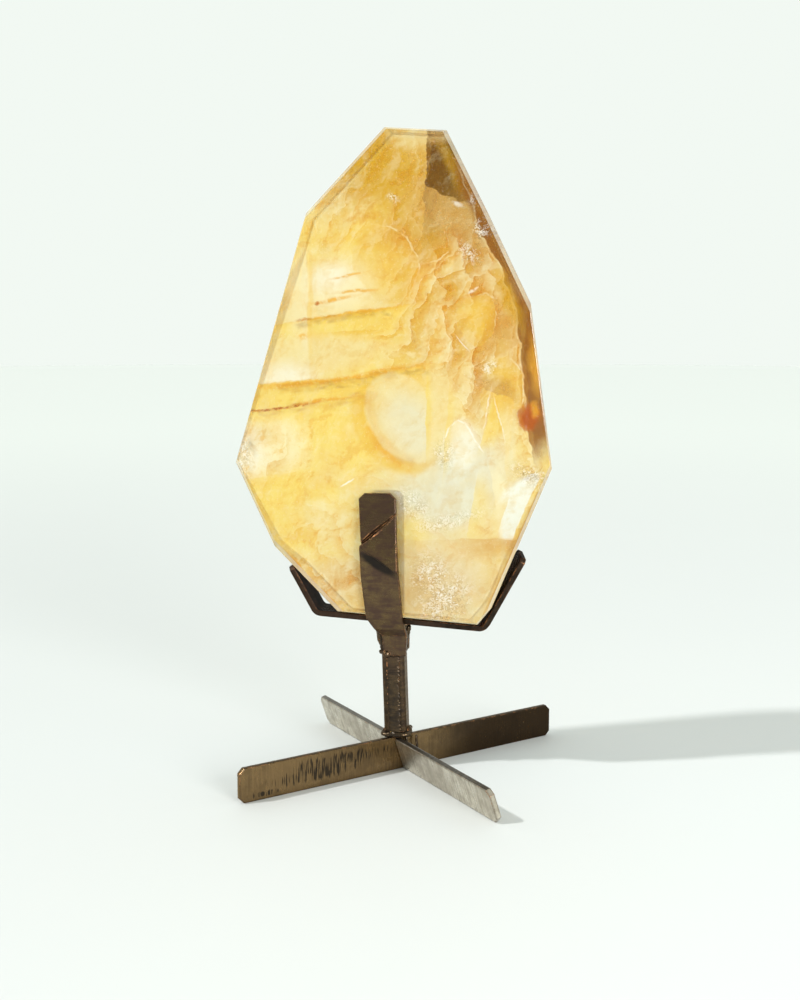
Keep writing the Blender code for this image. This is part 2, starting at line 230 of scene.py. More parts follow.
class Wiring:
    """Adds nodes to one node tree and joins them, so that a finish reads as a list of steps."""

    def __init__(self, tree: bpy.types.NodeTree) -> None:
        """Args:
            tree: The shader or geometry tree that the nodes are added to.
        """
        self.tree = tree

    def add(self, kind: str, **settings: object) -> bpy.types.Node:
        """Adds one node.

        Args:
            kind: Blender's name for the kind of node.
            settings: The node's own properties, by name.

        Returns:
            The new node.
        """
        node = self.tree.nodes.new(kind)
        for name, value in settings.items():
            setattr(node, name, value)
        return node

    def feed(self, socket: Socket, value: Value) -> None:
        """Links a socket to an input, or sets the input's own value.

        Args:
            socket: The input.
            value: An output of another node, a number or a colour.
        """
        if isinstance(value, bpy.types.NodeSocket):
            self.tree.links.new(value, socket)
        elif socket.type == "RGBA":
            socket.default_value = (*value, 1.0)
        else:
            socket.default_value = value

    def math(self, operation: str, *values: Value) -> Socket:
        """Adds a Math node.

        Args:
            operation: What it works out.
            values: Its inputs, in order.

        Returns:
            The result.
        """
        node = self.add("ShaderNodeMath", operation=operation)
        for socket, value in zip(node.inputs, values):
            self.feed(socket, value)
        return node.outputs[0]

    def product(self, *values: Value) -> Socket:
        """Multiplies numbers.

        Args:
            values: The numbers, two or more.

        Returns:
            Their product.
        """
        result = values[0]
        for value in values[1:]:
            result = self.math("MULTIPLY", result, value)
        return result

    def vector(self, operation: str, *values: Value, scale: Value | None = None) -> Socket:
        """Adds a Vector Math node.

        Args:
            operation: What it works out.
            values: Its vector inputs, in order.
            scale: The factor of a SCALE operation.

        Returns:
            The vector or, for a length or a dot product, the number.
        """
        node = self.add("ShaderNodeVectorMath", operation=operation)
        for socket, value in zip(node.inputs, values):
            self.feed(socket, value)
        if scale is not None:
            self.feed(node.inputs["Scale"], scale)
        wanted = "Value" if operation in {"LENGTH", "DOT_PRODUCT"} else "Vector"
        return node.outputs[wanted]

    def blend(self, share: Value, first: Value, second: Value, mode: str = "MIX") -> Socket:
        """Mixes two colours.

        Args:
            share: How much of the second one shows, from 0 to 1.
            first: The colour underneath.
            second: The colour laid over it.
            mode: How the second one is laid over the first.

        Returns:
            The mixed colour.
        """
        node = self.add("ShaderNodeMix", data_type="RGBA", blend_type=mode)
        for number, value in ((0, share), (6, first), (7, second)):
            self.feed(node.inputs[number], value)
        return node.outputs[2]

    def fade(self, value: Value, start: float, end: float, low: float = 0.0, high: float = 1.0) -> Socket:
        """Turns a range of values into another with a smooth step.

        Args:
            value: The value that is read.
            start: Where the step begins.
            end: Where it ends.
            low: The result before the step.
            high: The result after it.

        Returns:
            The stepped value.
        """
        node = self.add("ShaderNodeMapRange", interpolation_type="SMOOTHSTEP")
        for number, amount in enumerate((value, start, end, low, high)):
            self.feed(node.inputs[number], amount)
        return node.outputs[0]

    def clouds(self, place: Socket, scale: float, detail: float = 3.0, rough: float = 0.55,
               colour: bool = False) -> Socket:
        """Adds a noise texture.

        Args:
            place: The coordinates that it reads.
            scale: How many clouds there are in a metre.
            detail: How many finer octaves are added.
            rough: How strong the finer ones are.
            colour: Whether three values are wanted instead of one.

        Returns:
            The noise, as a number or a colour.
        """
        node = self.add("ShaderNodeTexNoise", noise_type="FBM")
        self.feed(node.inputs["Vector"], place)
        for name, amount in (("Scale", scale), ("Detail", detail), ("Roughness", rough)):
            node.inputs[name].default_value = amount
        return node.outputs["Color" if colour else "Fac"]

    def wandering(self, place: Socket, *steps: tuple[float, float]) -> Socket:
        """Coordinates that wander, so that what reads them has no straight edge.

        They end in a Mapping node, whose output all their readers share.

        Args:
            place: The coordinates.
            steps: How many bends there are in a metre and how far they reach, for each size of bend.

        Returns:
            The wandering coordinates.
        """
        bent = place
        for scale, reach in steps:
            drift = self.vector("SUBTRACT", self.clouds(place, scale, 1.0, colour=True), (0.5, 0.5, 0.5))
            bent = self.vector("ADD", bent, self.vector("SCALE", drift, scale=reach))
        return self.placed(bent, (0.0, 0.0, 0.0), (1.0, 1.0, 1.0))

    def gradient(self, place: Socket, kind: str) -> Socket:
        """Adds a gradient texture.

        Args:
            place: The coordinates that it reads.
            kind: SPHERICAL for 1 at the middle and 0 from 1 away, LINEAR for 0 to 1 along X.

        Returns:
            The gradient, from 0 to 1.
        """
        node = self.add("ShaderNodeTexGradient", gradient_type=kind)
        self.feed(node.inputs["Vector"], place)
        return node.outputs["Fac"]

    def placed(self, place: Socket, centre: Sequence[float], reach: Sequence[float],
               turn: Sequence[float] = (0.0, 0.0, 0.0)) -> Socket:
        """Moves coordinates to a patch's own middle, turn and size.

        Args:
            place: The coordinates.
            centre: The patch's middle.
            reach: Its half sizes, which become 1.
            turn: Its rotation, in radians.

        Returns:
            The coordinates as the patch sees them.
        """
        node = self.add("ShaderNodeMapping", vector_type="TEXTURE")
        self.feed(node.inputs["Vector"], place)
        for name, amount in (("Location", centre), ("Rotation", turn), ("Scale", reach)):
            node.inputs[name].default_value = amount
        return node.outputs[0]


class Recipe(Wiring):
    """A material that is being wired up, with the object's own coordinates at hand."""

    def __init__(self, name: str) -> None:
        """Args:
            name: The material's name.
        """
        self.material = bpy.data.materials.new(name)
        self.material.use_nodes = True
        super().__init__(self.material.node_tree)
        self.tree.nodes.clear()
        self.output = self.add("ShaderNodeOutputMaterial")
        self.place = self.add("ShaderNodeTexCoord").outputs["Object"]

    def surface(self, **values: Value) -> None:
        """Adds the Principled shader and gives it its values.

        Args:
            values: The inputs by name, with underscores for spaces.
        """
        shader = self.add("ShaderNodeBsdfPrincipled")
        for name, value in values.items():
            self.feed(shader.inputs[name.replace("_", " ")], value)
        self.tree.links.new(shader.outputs[0], self.output.inputs["Surface"])

    def relief(self, height: Socket, depth: float, strength: float) -> Socket:
        """Adds a bump.

        Args:
            height: The relief, from 0 to 1.
            depth: How deep it is, in metres.
            strength: How much of it is used.

        Returns:
            The bumped normal.
        """
        node = self.add("ShaderNodeBump")
        node.inputs["Strength"].default_value = strength
        node.inputs["Distance"].default_value = depth
        self.feed(node.inputs["Height"], height)
        return node.outputs[0]


STONE_ZONES: tuple[Zone, ...] = (
    Zone(StoneTone.GOLD, 0, 322, 44, 26, -24, 0.7, 0.85),
    Zone(StoneTone.CREAM, 4, 346, 12, 5, 0, 0.6, 0.6),
    Zone(StoneTone.YELLOW, -26, 300, 32, 11, 36, 0.6, 0.7),
    Zone(StoneTone.CREAM, -26, 306, 16, 4, 38, 0.6, 0.7),
    Zone(StoneTone.HONEY, -36, 294, 14, 4, 6, 0.6, 0.6),
    Zone(StoneTone.HONEY, 22, 270, 34, 50, 12, 0.7, 0.45),
    Zone(StoneTone.YELLOW, -8, 258, 14, 24, 0, 0.7, 0.7),
    Zone(StoneTone.PALE, -70, 184, 18, 17, 0, 0.5, 0.85),
    Zone(StoneTone.WHITE, -86, 178, 10, 14, 10, 0.6, 0.9),
    Zone(StoneTone.YELLOW, -30, 186, 22, 22, 10, 0.6, 0.6),
    Zone(StoneTone.CREAM, -42, 138, 22, 14, 0, 0.6, 0.8),
    Zone(StoneTone.YELLOW, -60, 132, 14, 12, -40, 0.6, 0.8),
    Zone(StoneTone.TAN, -30, 104, 30, 13, -8, 0.6, 0.85),
    Zone(StoneTone.PINK, -26, 110, 11, 7, 0, 0.6, 0.6),
    Zone(StoneTone.CREAM, 30, 210, 24, 12, 0, 0.6, 0.7),
)

STONE_BANDS: tuple[Zone, ...] = (
    Zone(StoneTone.CREAM, -38, 253, 34, 34, 188.6, 0.35, 0.9, True),
    Zone(StoneTone.PALE, -36, 268, 19, 13, 8, 0.5, 0.9),
    Zone(StoneTone.WHITE, -40, 273, 10, 7, 10, 0.7, 0.7),
    Zone(StoneTone.YELLOW, -34, 253.4, 36, 10, 8.6, 0.4, 0.95, True),
    Zone(StoneTone.HONEY, -30, 254, 28, 2.6, 8.6, 0.6, 0.85, True),
    Zone(StoneTone.HONEY, -26, 245, 15, 2.6, 4, 0.6, 0.8, True),
    Zone(StoneTone.HONEY, -21, 240.5, 13, 2.0, 6, 0.7, 0.6),
    Zone(StoneTone.CREAM, -46, 231, 38, 10, 5, 0.4, 0.85),
    Zone(StoneTone.WHITE, -64, 217.6, 15, 9, 184.3, 0.6, 0.8, True),
    Zone(StoneTone.YELLOW, -56, 217.4, 34, 17, 4.3, 0.3, 0.75, True),
    Zone(StoneTone.HONEY, -58, 217.3, 24, 5, 4.3, 0.6, 0.5, True),
    Zone(StoneTone.HONEY, -16, 222.4, 30, 8, 9.3, 0.5, 0.8, True),
    Zone(StoneTone.YELLOW, -66, 203.6, 26, 8, 9.8, 0.5, 0.5, True),
    Zone(StoneTone.YELLOW, -48.5, 186, 17, 24, 90, 0.5, 0.4, True),
    Zone(StoneTone.YELLOW, -72, 166, 24, 26, 10.8, 0.4, 0.5, True),
    Zone(StoneTone.PALE, -51.6, 262, 27, 12, -90, 0.3, 0.55, True),
    Zone(StoneTone.HONEY, -50, 260, 1.4, 30, 0, 0.5, 0.45),
    Zone(StoneTone.MILK, 24, 164, 36, 28, 10, 0.5, 0.85),
    Zone(StoneTone.MILK, 24, 108, 24, 22, 20, 0.7, 0.7),
    Zone(StoneTone.YELLOW, 5, 137, 9, 8, 0, 0.6, 0.6),
)

STONE_POCKETS: tuple[Zone, ...] = (
    Zone(StoneTone.YELLOW, -8, 197, 30, 34, 36, 0.4, 0.45),
    Zone(StoneTone.HONEY, -4, 195, 21, 29.5, 36, 0.10, 0.85),
    Zone(StoneTone.ORANGE, -11, 183, 3.4, 13, 38, 0.5, 0.6),
    Zone(StoneTone.CREAM, 1, 198.5, 18.5, 26, 36, 0.06, 0.95),
    Zone(StoneTone.MILK, 5, 193, 13, 19, 34, 0.5, 0.6),
    Zone(StoneTone.WHITE, 32, 184, 9, 13, 4, 0.25, 0.7),
)

STONE_CUTS: tuple[Zone, ...] = (
    Zone(StoneTone.CREAM, 13.2, 201, 24, 16, 90, 0.3, 0.9, True),
    Zone(StoneTone.YELLOW, 13.2, 204, 22, 2.6, 90, 0.6, 0.85, True),
    Zone(StoneTone.YELLOW, 24, 192, 22, 3, 86, 0.6, 0.55, True),
    Zone(StoneTone.YELLOW, 46, 198, 15, 8, 76, 0.4, 0.7, True),
    Zone(StoneTone.HONEY, 51, 200, 11, 4, 94, 0.5, 0.55, True),
    Zone(StoneTone.CREAM, 55, 184, 19, 8, 98, 0.5, 0.6, True),
    Zone(StoneTone.YELLOW, 38, 150, 17, 9, 80, 0.5, 0.55, True),
    Zone(StoneTone.PALE, 51, 152, 20, 9, 98, 0.4, 0.75, True),
    Zone(StoneTone.SILVER, 66.4, 149.4, 20, 14, 247.4, 0.15, 0.95, True),
    Zone(StoneTone.CREAM, 54.6, 144.3, 12, 6, 251, 0.3, 0.8, True),
    Zone(StoneTone.TAN, 34, 133.4, 44, 44, 2, 0.3, 0.45, True),
    Zone(StoneTone.PINK, 52, 133.4, 18, 9, 0, 0.6, 0.7, True),
    Zone(StoneTone.PINK, 12, 100, 14, 15, 20, 0.5, 0.5),
    Zone(StoneTone.PINK, 61.2, 131, 46, 9, 67.1, 0.2, 0.85, True),
)

STONE_LOBES: tuple[Lobe, ...] = (
    Lobe(StoneTone.PINK, 52, 247, 12, 14, 0, 10, 0.9, 0.9),
    Lobe(StoneTone.HONEY, 53, 215, 12.5, 18, 6, 0, 0.7, 0.9),
    Lobe(StoneTone.RUST, 68.5, 199.6, 5, 8.5, -6, 190, 0.95, 0.5),
    Lobe(StoneTone.HONEY, 40, 251.5, 10.5, 12.5, 0, 20, 0.9, 0.9),
    Lobe(StoneTone.GOLD, 13, 293, 11, 14, 10, -20, 0.6, 0.8),
    Lobe(StoneTone.HONEY, -9, 281, 17, 21, 24, 40, 0.5, 0.8),
)

STONE_LAYERS: tuple[Layering, ...] = (
    Layering(StoneTone.PINK, 8, 14, 2.8, 28, 1.0, (Zone(StoneTone.PINK, 40, 262, 34, 74, 12, 0.5),)),
    Layering(StoneTone.GOLD, -34, 9, 4.0, 34, 0.6, (
        Zone(StoneTone.GOLD, 18, 262, 40, 60, 14, 0.6),
        Zone(StoneTone.GOLD, -24, 310, 30, 24, -24, 0.6, 0.6),
        Zone(StoneTone.GOLD, -80, 176, 16, 20, 0, 0.6, 0.6),
    )),
    Layering(StoneTone.YELLOW, 228, 17, 5.0, 30, 0.55, (
        Zone(StoneTone.TAN, 30, 150, 56, 60, 0, 0.5),
        Zone(StoneTone.TAN, -40, 118, 34, 34, 0, 0.6, 0.8),
    )),
)

STONE_PATCHES: tuple[Zone, ...] = (
    Zone(StoneTone.GOLD, -8, 326, 32, 18, -24, 0.7, 0.6),
    Zone(StoneTone.ROSE, 36, 296, 10, 18, 22, 0.7, 0.5),
    Zone(StoneTone.ROSE, 48, 212.6, 12, 7, 153, 0.7, 0.6, True),
    # Painted shadow over the upper right of the slab.
    Zone(StoneTone.SMOKE, 13, 336, 34, 46, 86.5, 0.5, 0.97, True),
    Zone(StoneTone.GOLD, 24, 332, 2.6, 18, 22, 0.8, 0.5),
    Zone(StoneTone.PINK, 26, 314, 20, 20, -26, 0.6, 0.75, True),
    Zone(StoneTone.TAN, 24, 346, 12, 3, 0, 0.6, 0.5),
)

STONE_EDGES: tuple[Zone, ...] = (
    Zone(StoneTone.ORANGE, -46, 105.6, 24, 7, -45, 0.3, 0.8, True),
    Zone(StoneTone.AMBER, 36, 318, 6, 18, 26, 0.4, 0.9),
    Zone(StoneTone.PALE, 46.8, 284.5, 46, 30, 114, 0.2, 0.25, True),
    Zone(StoneTone.AMBER, 48, 285, 46, 30, 114, 0.2, 0.95, True),
    Zone(StoneTone.PALE, 63.7, 221.8, 44, 22, 97.6, 0.2, 0.3, True),
    Zone(StoneTone.AMBER, 65, 222, 44, 22, 97.6, 0.2, 0.95, True),
    Zone(StoneTone.GOLD, 56, 262, 4, 16, 26, 0.6, 0.7),
    Zone(StoneTone.ORANGE, 71, 226, 3, 14, 10, 0.6, 0.7),
    Zone(StoneTone.RUST, 69.5, 199, 5.5, 7.5, -16, 0.25, 0.95),
    Zone(StoneTone.ORANGE, 72, 203, 2.4, 4, 10, 0.5, 0.7),
)

FINE_VEINS: tuple[Zone, ...] = (
    Zone(StoneTone.ORANGE, -29, 274, 9, 0.6, 11, 0.8, 0.9),
    Zone(StoneTone.ORANGE, -25, 266, 11, 0.8, 4, 0.8, 0.9),
    Zone(StoneTone.ORANGE, -38, 261.5, 10, 1.0, 8, 0.8, 0.9),
    Zone(StoneTone.RUST, -46.4, 260, 1.2, 1.2, 0, 0.6, 0.9),
    Zone(StoneTone.ORANGE, -30, 253.9, 24, 0.8, 8.6, 0.8, 0.95),
    Zone(StoneTone.RUST, -54, 250.4, 3.6, 0.8, 4, 0.7, 0.5),
    Zone(StoneTone.ORANGE, -54, 241.5, 3, 1.4, 8, 0.7, 0.8),
    Zone(StoneTone.ORANGE, -56, 216.2, 26, 1.6, 4.3, 0.7, 0.9),
    Zone(StoneTone.ORANGE, -30, 219.4, 16, 1.1, 8, 0.8, 0.9),
    Zone(StoneTone.ORANGE, -10, 223.4, 18, 1.3, 9.3, 0.8, 0.9),
    Zone(StoneTone.RUST, -66, 203.2, 21, 0.7, 9, 0.8, 0.95),
    Zone(StoneTone.RUST, -60.5, 204.6, 3.4, 1.0, 10, 0.7, 0.8),
    Zone(StoneTone.ORANGE, -44, 207.0, 14, 0.9, 8, 0.8, 0.9),
    Zone(StoneTone.ORANGE, -4, 175.5, 10, 1.4, -38, 0.7, 0.9),
    # Painted glints: short white strokes of sparkle.
    Zone(StoneTone.GLINT, -30, 162.2, 4.6, 0.45, 36, 0.5, 1.0),
    Zone(StoneTone.GLINT, 32.6, 238, 4.8, 0.35, -50, 0.6, 0.9),
    Zone(StoneTone.GLINT, 30, 311, 2.6, 1.2, -25, 0.6, 0.9),
    Zone(StoneTone.GLINT, 38, 266.3, 2.6, 0.7, 30, 0.6, 0.9),
    # White fracture lines, in an arch and a fan.
    Zone(StoneTone.GLINT, 25.2, 190.7, 3.4, 0.5, 68, 0.6, 0.9),
    Zone(StoneTone.GLINT, 28.1, 195.3, 3.0, 0.5, 46, 0.6, 0.9),
    Zone(StoneTone.GLINT, 32.4, 196.4, 3.0, 0.5, -18, 0.6, 0.9),
    Zone(StoneTone.GLINT, 37.3, 191.4, 5.2, 0.5, -60, 0.6, 0.9),
    Zone(StoneTone.GLINT, 41.9, 184.0, 4.2, 0.5, -55, 0.6, 0.8),
    Zone(StoneTone.GLINT, 46.0, 203.0, 10.6, 0.4, 78.9, 0.6, 0.7),
    Zone(StoneTone.GLINT, 52.2, 199.1, 10.9, 0.4, -76.7, 0.6, 0.7),
)

CRUSHED_AREAS: tuple[Zone, ...] = (
    Zone(StoneTone.GLINT, 16, 112, 9, 12, 20, 0.6, 0.8),
    Zone(StoneTone.GLINT, 24, 98, 11, 14, -30, 0.6, 1.0),
    Zone(StoneTone.GLINT, 6, 152, 9, 6, -40, 0.6, 0.8),
    Zone(StoneTone.GLINT, 26, 144, 16, 4, 14, 0.6, 0.7),
    Zone(StoneTone.GLINT, 70, 169, 9, 4.5, -24, 0.6, 1.0),
    Zone(StoneTone.GLINT, 24, 178, 5, 8, 15, 0.6, 0.9),
    Zone(StoneTone.GLINT, 43, 299, 4.5, 4, 0, 0.6, 1.0),
    Zone(StoneTone.GLINT, 37, 312, 3, 3, 0, 0.6, 0.9),
    Zone(StoneTone.GLINT, 35, 284, 5.5, 4, -40, 0.6, 1.0),
    Zone(StoneTone.GLINT, 47, 227.5, 5, 3, 20, 0.6, 0.9),
    Zone(StoneTone.GLINT, -44, 290, 4, 3, -20, 0.6, 0.35),
    Zone(StoneTone.GLINT, -88, 178, 5, 10, 10, 0.6, 1.0),
    Zone(StoneTone.GLINT, -4, 315, 4, 1.5, 0, 0.6, 0.8),
)

STONE_SEAMS: tuple[Seam, ...] = (
    Seam(StoneTone.GOLD, ((14.4, 345.5), (15, 342), (11.5, 333), (8.7, 322), (10.4, 315), (8.1, 308.5)),
         lean=7),
    Seam(StoneTone.YELLOW, ((8.1, 308.5), (13.9, 304.6), (21.4, 298.9), (23.7, 292.2), (22.1, 283.2),
                            (14.6, 281))),
    Seam(StoneTone.YELLOW, ((38.8, 263), (49.1, 260.6), (50.4, 256), (42.4, 251.6), (44.7, 246), (42.5, 239),
                            (34.4, 234.5), (30.9, 240.2))),
    Seam(StoneTone.YELLOW, ((50.3, 260.6), (59.5, 258.3), (63.5, 251.6), (63.6, 243.7), (59.7, 240.3),
                            (63.2, 233.5), (65.6, 224.4), (65.8, 208.8)), lean=6),
    Seam(StoneTone.AMBER, ((-60.1, 249.7), (-43.2, 252.7), (-8.7, 257.2)), deep=14, lean=-4, ruffle=0.6),
    Seam(StoneTone.AMBER, ((-70.4, 215.8), (-49.5, 217.1), (-30.3, 219.1), (-1.7, 225.1), (13.5, 226.4)),
         deep=16, lean=-5, ruffle=0.7),
    Seam(StoneTone.RUST, ((-80.9, 200.2), (-60.6, 204.2), (-32.7, 208.7), (-23.1, 212.9)), deep=12, lean=-4,
         ruffle=0.6),
    Seam(StoneTone.GOLD, ((-18.4, 213), (-20.7, 206.5), (-19.5, 200.6), (-14.8, 190), (-8.9, 179.6),
                          (4.8, 171.6)), lean=4),
)

STONE_VEILS: tuple[Veil, ...] = (
    Veil(70, 169, -3, 7, 5, 0, 20, 2.0),
    Veil(42, 296, 1, 6, 14, -24, -22, 3.0),
    Veil(-86, 180, -4, 5, 10, 10, 22, 1.8),
)

POST_WELDS: tuple[Weld, ...] = (
    Weld(((-4.6, -6.7, 21.5), (-6.0, -6.7, 66.0)), (0, -1, 0), 3.7, 0.75),
    Weld(((-11.4, -2.0, 20.5), (-11.0, -6.2, 20.6), (-7.0, -7.4, 20.9), (-2.0, -7.4, 20.9),
          (2.2, -6.0, 20.6), (2.6, -1.0, 20.5)), (0, -0.6, 0.8), 1.7, 1.3),
    Weld(((-12.4, -6.0, 67.6), (-8.8, -8.4, 66.6), (-3.0, -8.4, 66.9), (0.6, -6.6, 67.4)), (0, -0.9, -0.4),
         1.5, 0.9),
    Weld(((-13.2, -5.0, 83.0), (-11.0, -7.6, 81.6), (-5.0, -8.0, 82.6), (0.8, -6.6, 83.4)), (0, -1, 0),
         1.3, 0.8),
    Weld(((-11.6, -3.4, 68.0), (-12.8, -3.4, 75.0), (-15.2, -3.4, 81.5)), (-1, -0.2, -0.2), 2.6, 1.5),
    Weld(((0.4, -3.4, 69.0), (1.4, -3.4, 76.0), (2.8, -3.4, 81.5)), (1, -0.2, -0.2), 2.2, 1.2),
    Weld(((-11.6, 6.6, 21.2), (-5.0, 7.2, 21.2), (1.8, 6.6, 21.2)), (0, 0.6, 0.8), 1.7, 1.2),
    Weld(((-12.6, 6.4, 81.0), (-6.0, 7.2, 80.0), (0.6, 6.4, 81.4)), (0, 1, 0), 1.7, 1.0),
)
LEG_WELDS: tuple[Weld, ...] = (
    Weld(((2.4, -4.6, 2.4), (1.2, -3.4, 17.6)), (-0.6, -0.8, 0), 1.1, 0.7),
    Weld(((7.6, -0.6, 2.4), (6.4, 0.2, 17.6)), (0.9, -0.2, 0), 1.0, 0.6),
    Weld(((-2.6, 4.4, 2.4), (-1.4, 3.2, 17.6)), (0.6, 0.8, 0), 1.1, 0.7),
    Weld(((-7.4, 0.4, 2.4), (-6.4, -0.4, 17.6)), (-0.9, 0.2, 0), 1.0, 0.6),
)


def in_metres(across: float, up: float, depth: float = 0.0) -> Vector:
    """Turns a place given in millimetres into a point.

    Args:
        across: How far right of the middle it is.
        up: How high it is.
        depth: How far behind the slab's middle plane it is.

    Returns:
        The point, in metres.
    """
    return Vector((across * MM, depth * MM, up * MM))


def new_piece(name: str, mesh: bpy.types.Mesh, slot: str, *stands_for: str) -> bpy.types.Object:
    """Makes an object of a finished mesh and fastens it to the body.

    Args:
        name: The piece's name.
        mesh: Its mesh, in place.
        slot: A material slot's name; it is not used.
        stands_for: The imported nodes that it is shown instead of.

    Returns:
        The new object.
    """
    piece = bpy.data.objects.new(name, mesh)
    bpy.context.scene.collection.objects.link(piece)
    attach(piece, BODY)
    if stands_for:
        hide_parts(*stands_for)
    LOG.info("%s: %d faces", name, len(mesh.polygons))
    return piece


def merged_copy(node: str, weld: float = 1e-6, flat_angle: float = math.radians(0.6)) -> bmesh.types.BMesh:
    """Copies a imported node's mesh with its loose triangles joined and its flat faces made whole.

    Args:
        node: The node's name.
        weld: How close two corners are to be one, in metres.
        flat_angle: The angle under which two faces are one, in radians.

    Returns:
        The joined copy.
    """
    copy = bmesh.new()
    copy.from_mesh(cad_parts[node].data)
    bmesh.ops.remove_doubles(copy, verts=copy.verts, dist=weld)
    bmesh.ops.dissolve_limit(copy, angle_limit=flat_angle, verts=copy.verts, edges=copy.edges)
    return copy


def smooth_line(points: Sequence[Vector], step: float) -> list[Vector]:
    """Runs a smooth curve through points.

    Args:
        points: The points, in order.
        step: About how far apart the result's points are, in metres.

    Returns:
        The curve's points.
    """
    ends = [2 * points[0] - points[1], *points, 2 * points[-1] - points[-2]]
    curve = []
    for before, start, end, after in zip(ends, ends[1:], ends[2:], ends[3:]):
        count = max(2, round((end - start).length / step))
        for number in range(count):
            t = number / count
            curve.append(0.5 * (2 * start + (end - before) * t
                                + (2 * before - 5 * start + 4 * end - after) * t ** 2
                                + (3 * start - before - 3 * end + after) * t ** 3))
    return [*curve, points[-1]]


def add_sheet(target: bmesh.types.BMesh, rows: Sequence[Sequence[Vector]],
              kept: Callable[[Vector], bool]) -> None:
    """Adds a sheet of quads, torn away where it isn't kept.

    Args:
        target: The mesh that it is added to.
        rows: The sheet's points, row by row, with as many in each row.
        kept: Says whether the sheet is there at a point.
    """
    corners = [[target.verts.new(point) for point in row] for row in rows]
    for upper, lower in zip(corners, corners[1:]):
        for left in range(len(upper) - 1):
            quad = (upper[left], upper[left + 1], lower[left + 1], lower[left])
            if all(kept(corner.co) for corner in quad):
                target.faces.new(quad)
    loose = [corner for row in corners for corner in row if not corner.link_faces]
    bmesh.ops.delete(target, geom=loose, context="VERTS")


def close_sheets(sheets: bmesh.types.BMesh, thickness: float) -> None:
    """Gives sheets a thickness, so that they are closed and face outwards.

    Args:
        sheets: The mesh that holds them.
        thickness: How thick they become, in metres.
    """
    bmesh.ops.solidify(sheets, geom=sheets.faces[:], thickness=thickness)
    bmesh.ops.recalc_face_normals(sheets, faces=sheets.faces)


def mesh_from(name: str, source: bmesh.types.BMesh) -> bpy.types.Mesh:
    """Turns a mesh that is being worked on into a finished one.

    Args:
        name: The mesh's name.
        source: The mesh that is being worked on, which is freed.

    Returns:
        The finished mesh.
    """
    mesh = bpy.data.meshes.new(name)
    source.to_mesh(mesh)
    source.free()
    return mesh


def geometry_tree(name: str, **sizes: str) -> tuple[Wiring, dict[str, Socket]]:
    """Starts a Geometry Nodes tree with its inputs.

    Args:
        name: The tree's name.
        sizes: The kind of each input besides the geometry, by its name with underscores for spaces.

    Returns:
        The tree's wiring, and its inputs by name.
    """
    tree = bpy.data.node_groups.new(name, "GeometryNodeTree")
    tree.interface.new_socket("Geometry", in_out="INPUT", socket_type="NodeSocketGeometry")
    for size, kind in sizes.items():
        tree.interface.new_socket(size.replace("_", " "), in_out="INPUT", socket_type=f"NodeSocket{kind}")
    tree.interface.new_socket("Geometry", in_out="OUTPUT", socket_type="NodeSocketGeometry")
    wire = Wiring(tree)
    return wire, dict(wire.add("NodeGroupInput").outputs.items())


def end_tree(wire: Wiring, instances: Socket, finish: bpy.types.Material) -> bpy.types.NodeTree:
    """Ends a Geometry Nodes tree: the instances become real and are dressed.

    Args:
        wire: The tree's wiring.
        instances: What the tree has made.
        finish: The material.

    Returns:
        The tree.
    """
    whole = wire.add("GeometryNodeRealizeInstances")
    wire.feed(whole.inputs[0], instances)
    dressed = wire.add("GeometryNodeSetMaterial")
    dressed.inputs["Material"].default_value = finish
    wire.feed(dressed.inputs["Geometry"], whole.outputs[0])
    wire.feed(wire.add("NodeGroupOutput").inputs[0], dressed.outputs[0])
    return wire.tree


def run_geometry_nodes(name: str, start: bpy.types.Mesh, tree: bpy.types.NodeTree,
                       sizes: dict[str, float | int]) -> bpy.types.Mesh:
    """Runs a node tree on a mesh.

    Args:
        name: The finished mesh's name.
        start: The mesh that the tree is given.
        tree: The tree.
        sizes: Its inputs by name.

    Returns:
        The tree's result as a plain mesh.
    """
    holder = bpy.data.objects.new(name + "_start", start)
    bpy.context.scene.collection.objects.link(holder)
    modifier = holder.modifiers.new("nodes", "NODES")
    modifier.node_group = tree
    for item in tree.interface.items_tree:
        if item.in_out == "INPUT" and item.name in sizes:
            modifier[item.identifier] = sizes[item.name]
    ready = holder.evaluated_get(bpy.context.evaluated_depsgraph_get())
    mesh = bpy.data.meshes.new_from_object(ready)
    mesh.name = name
    bpy.data.objects.remove(holder)
    return mesh


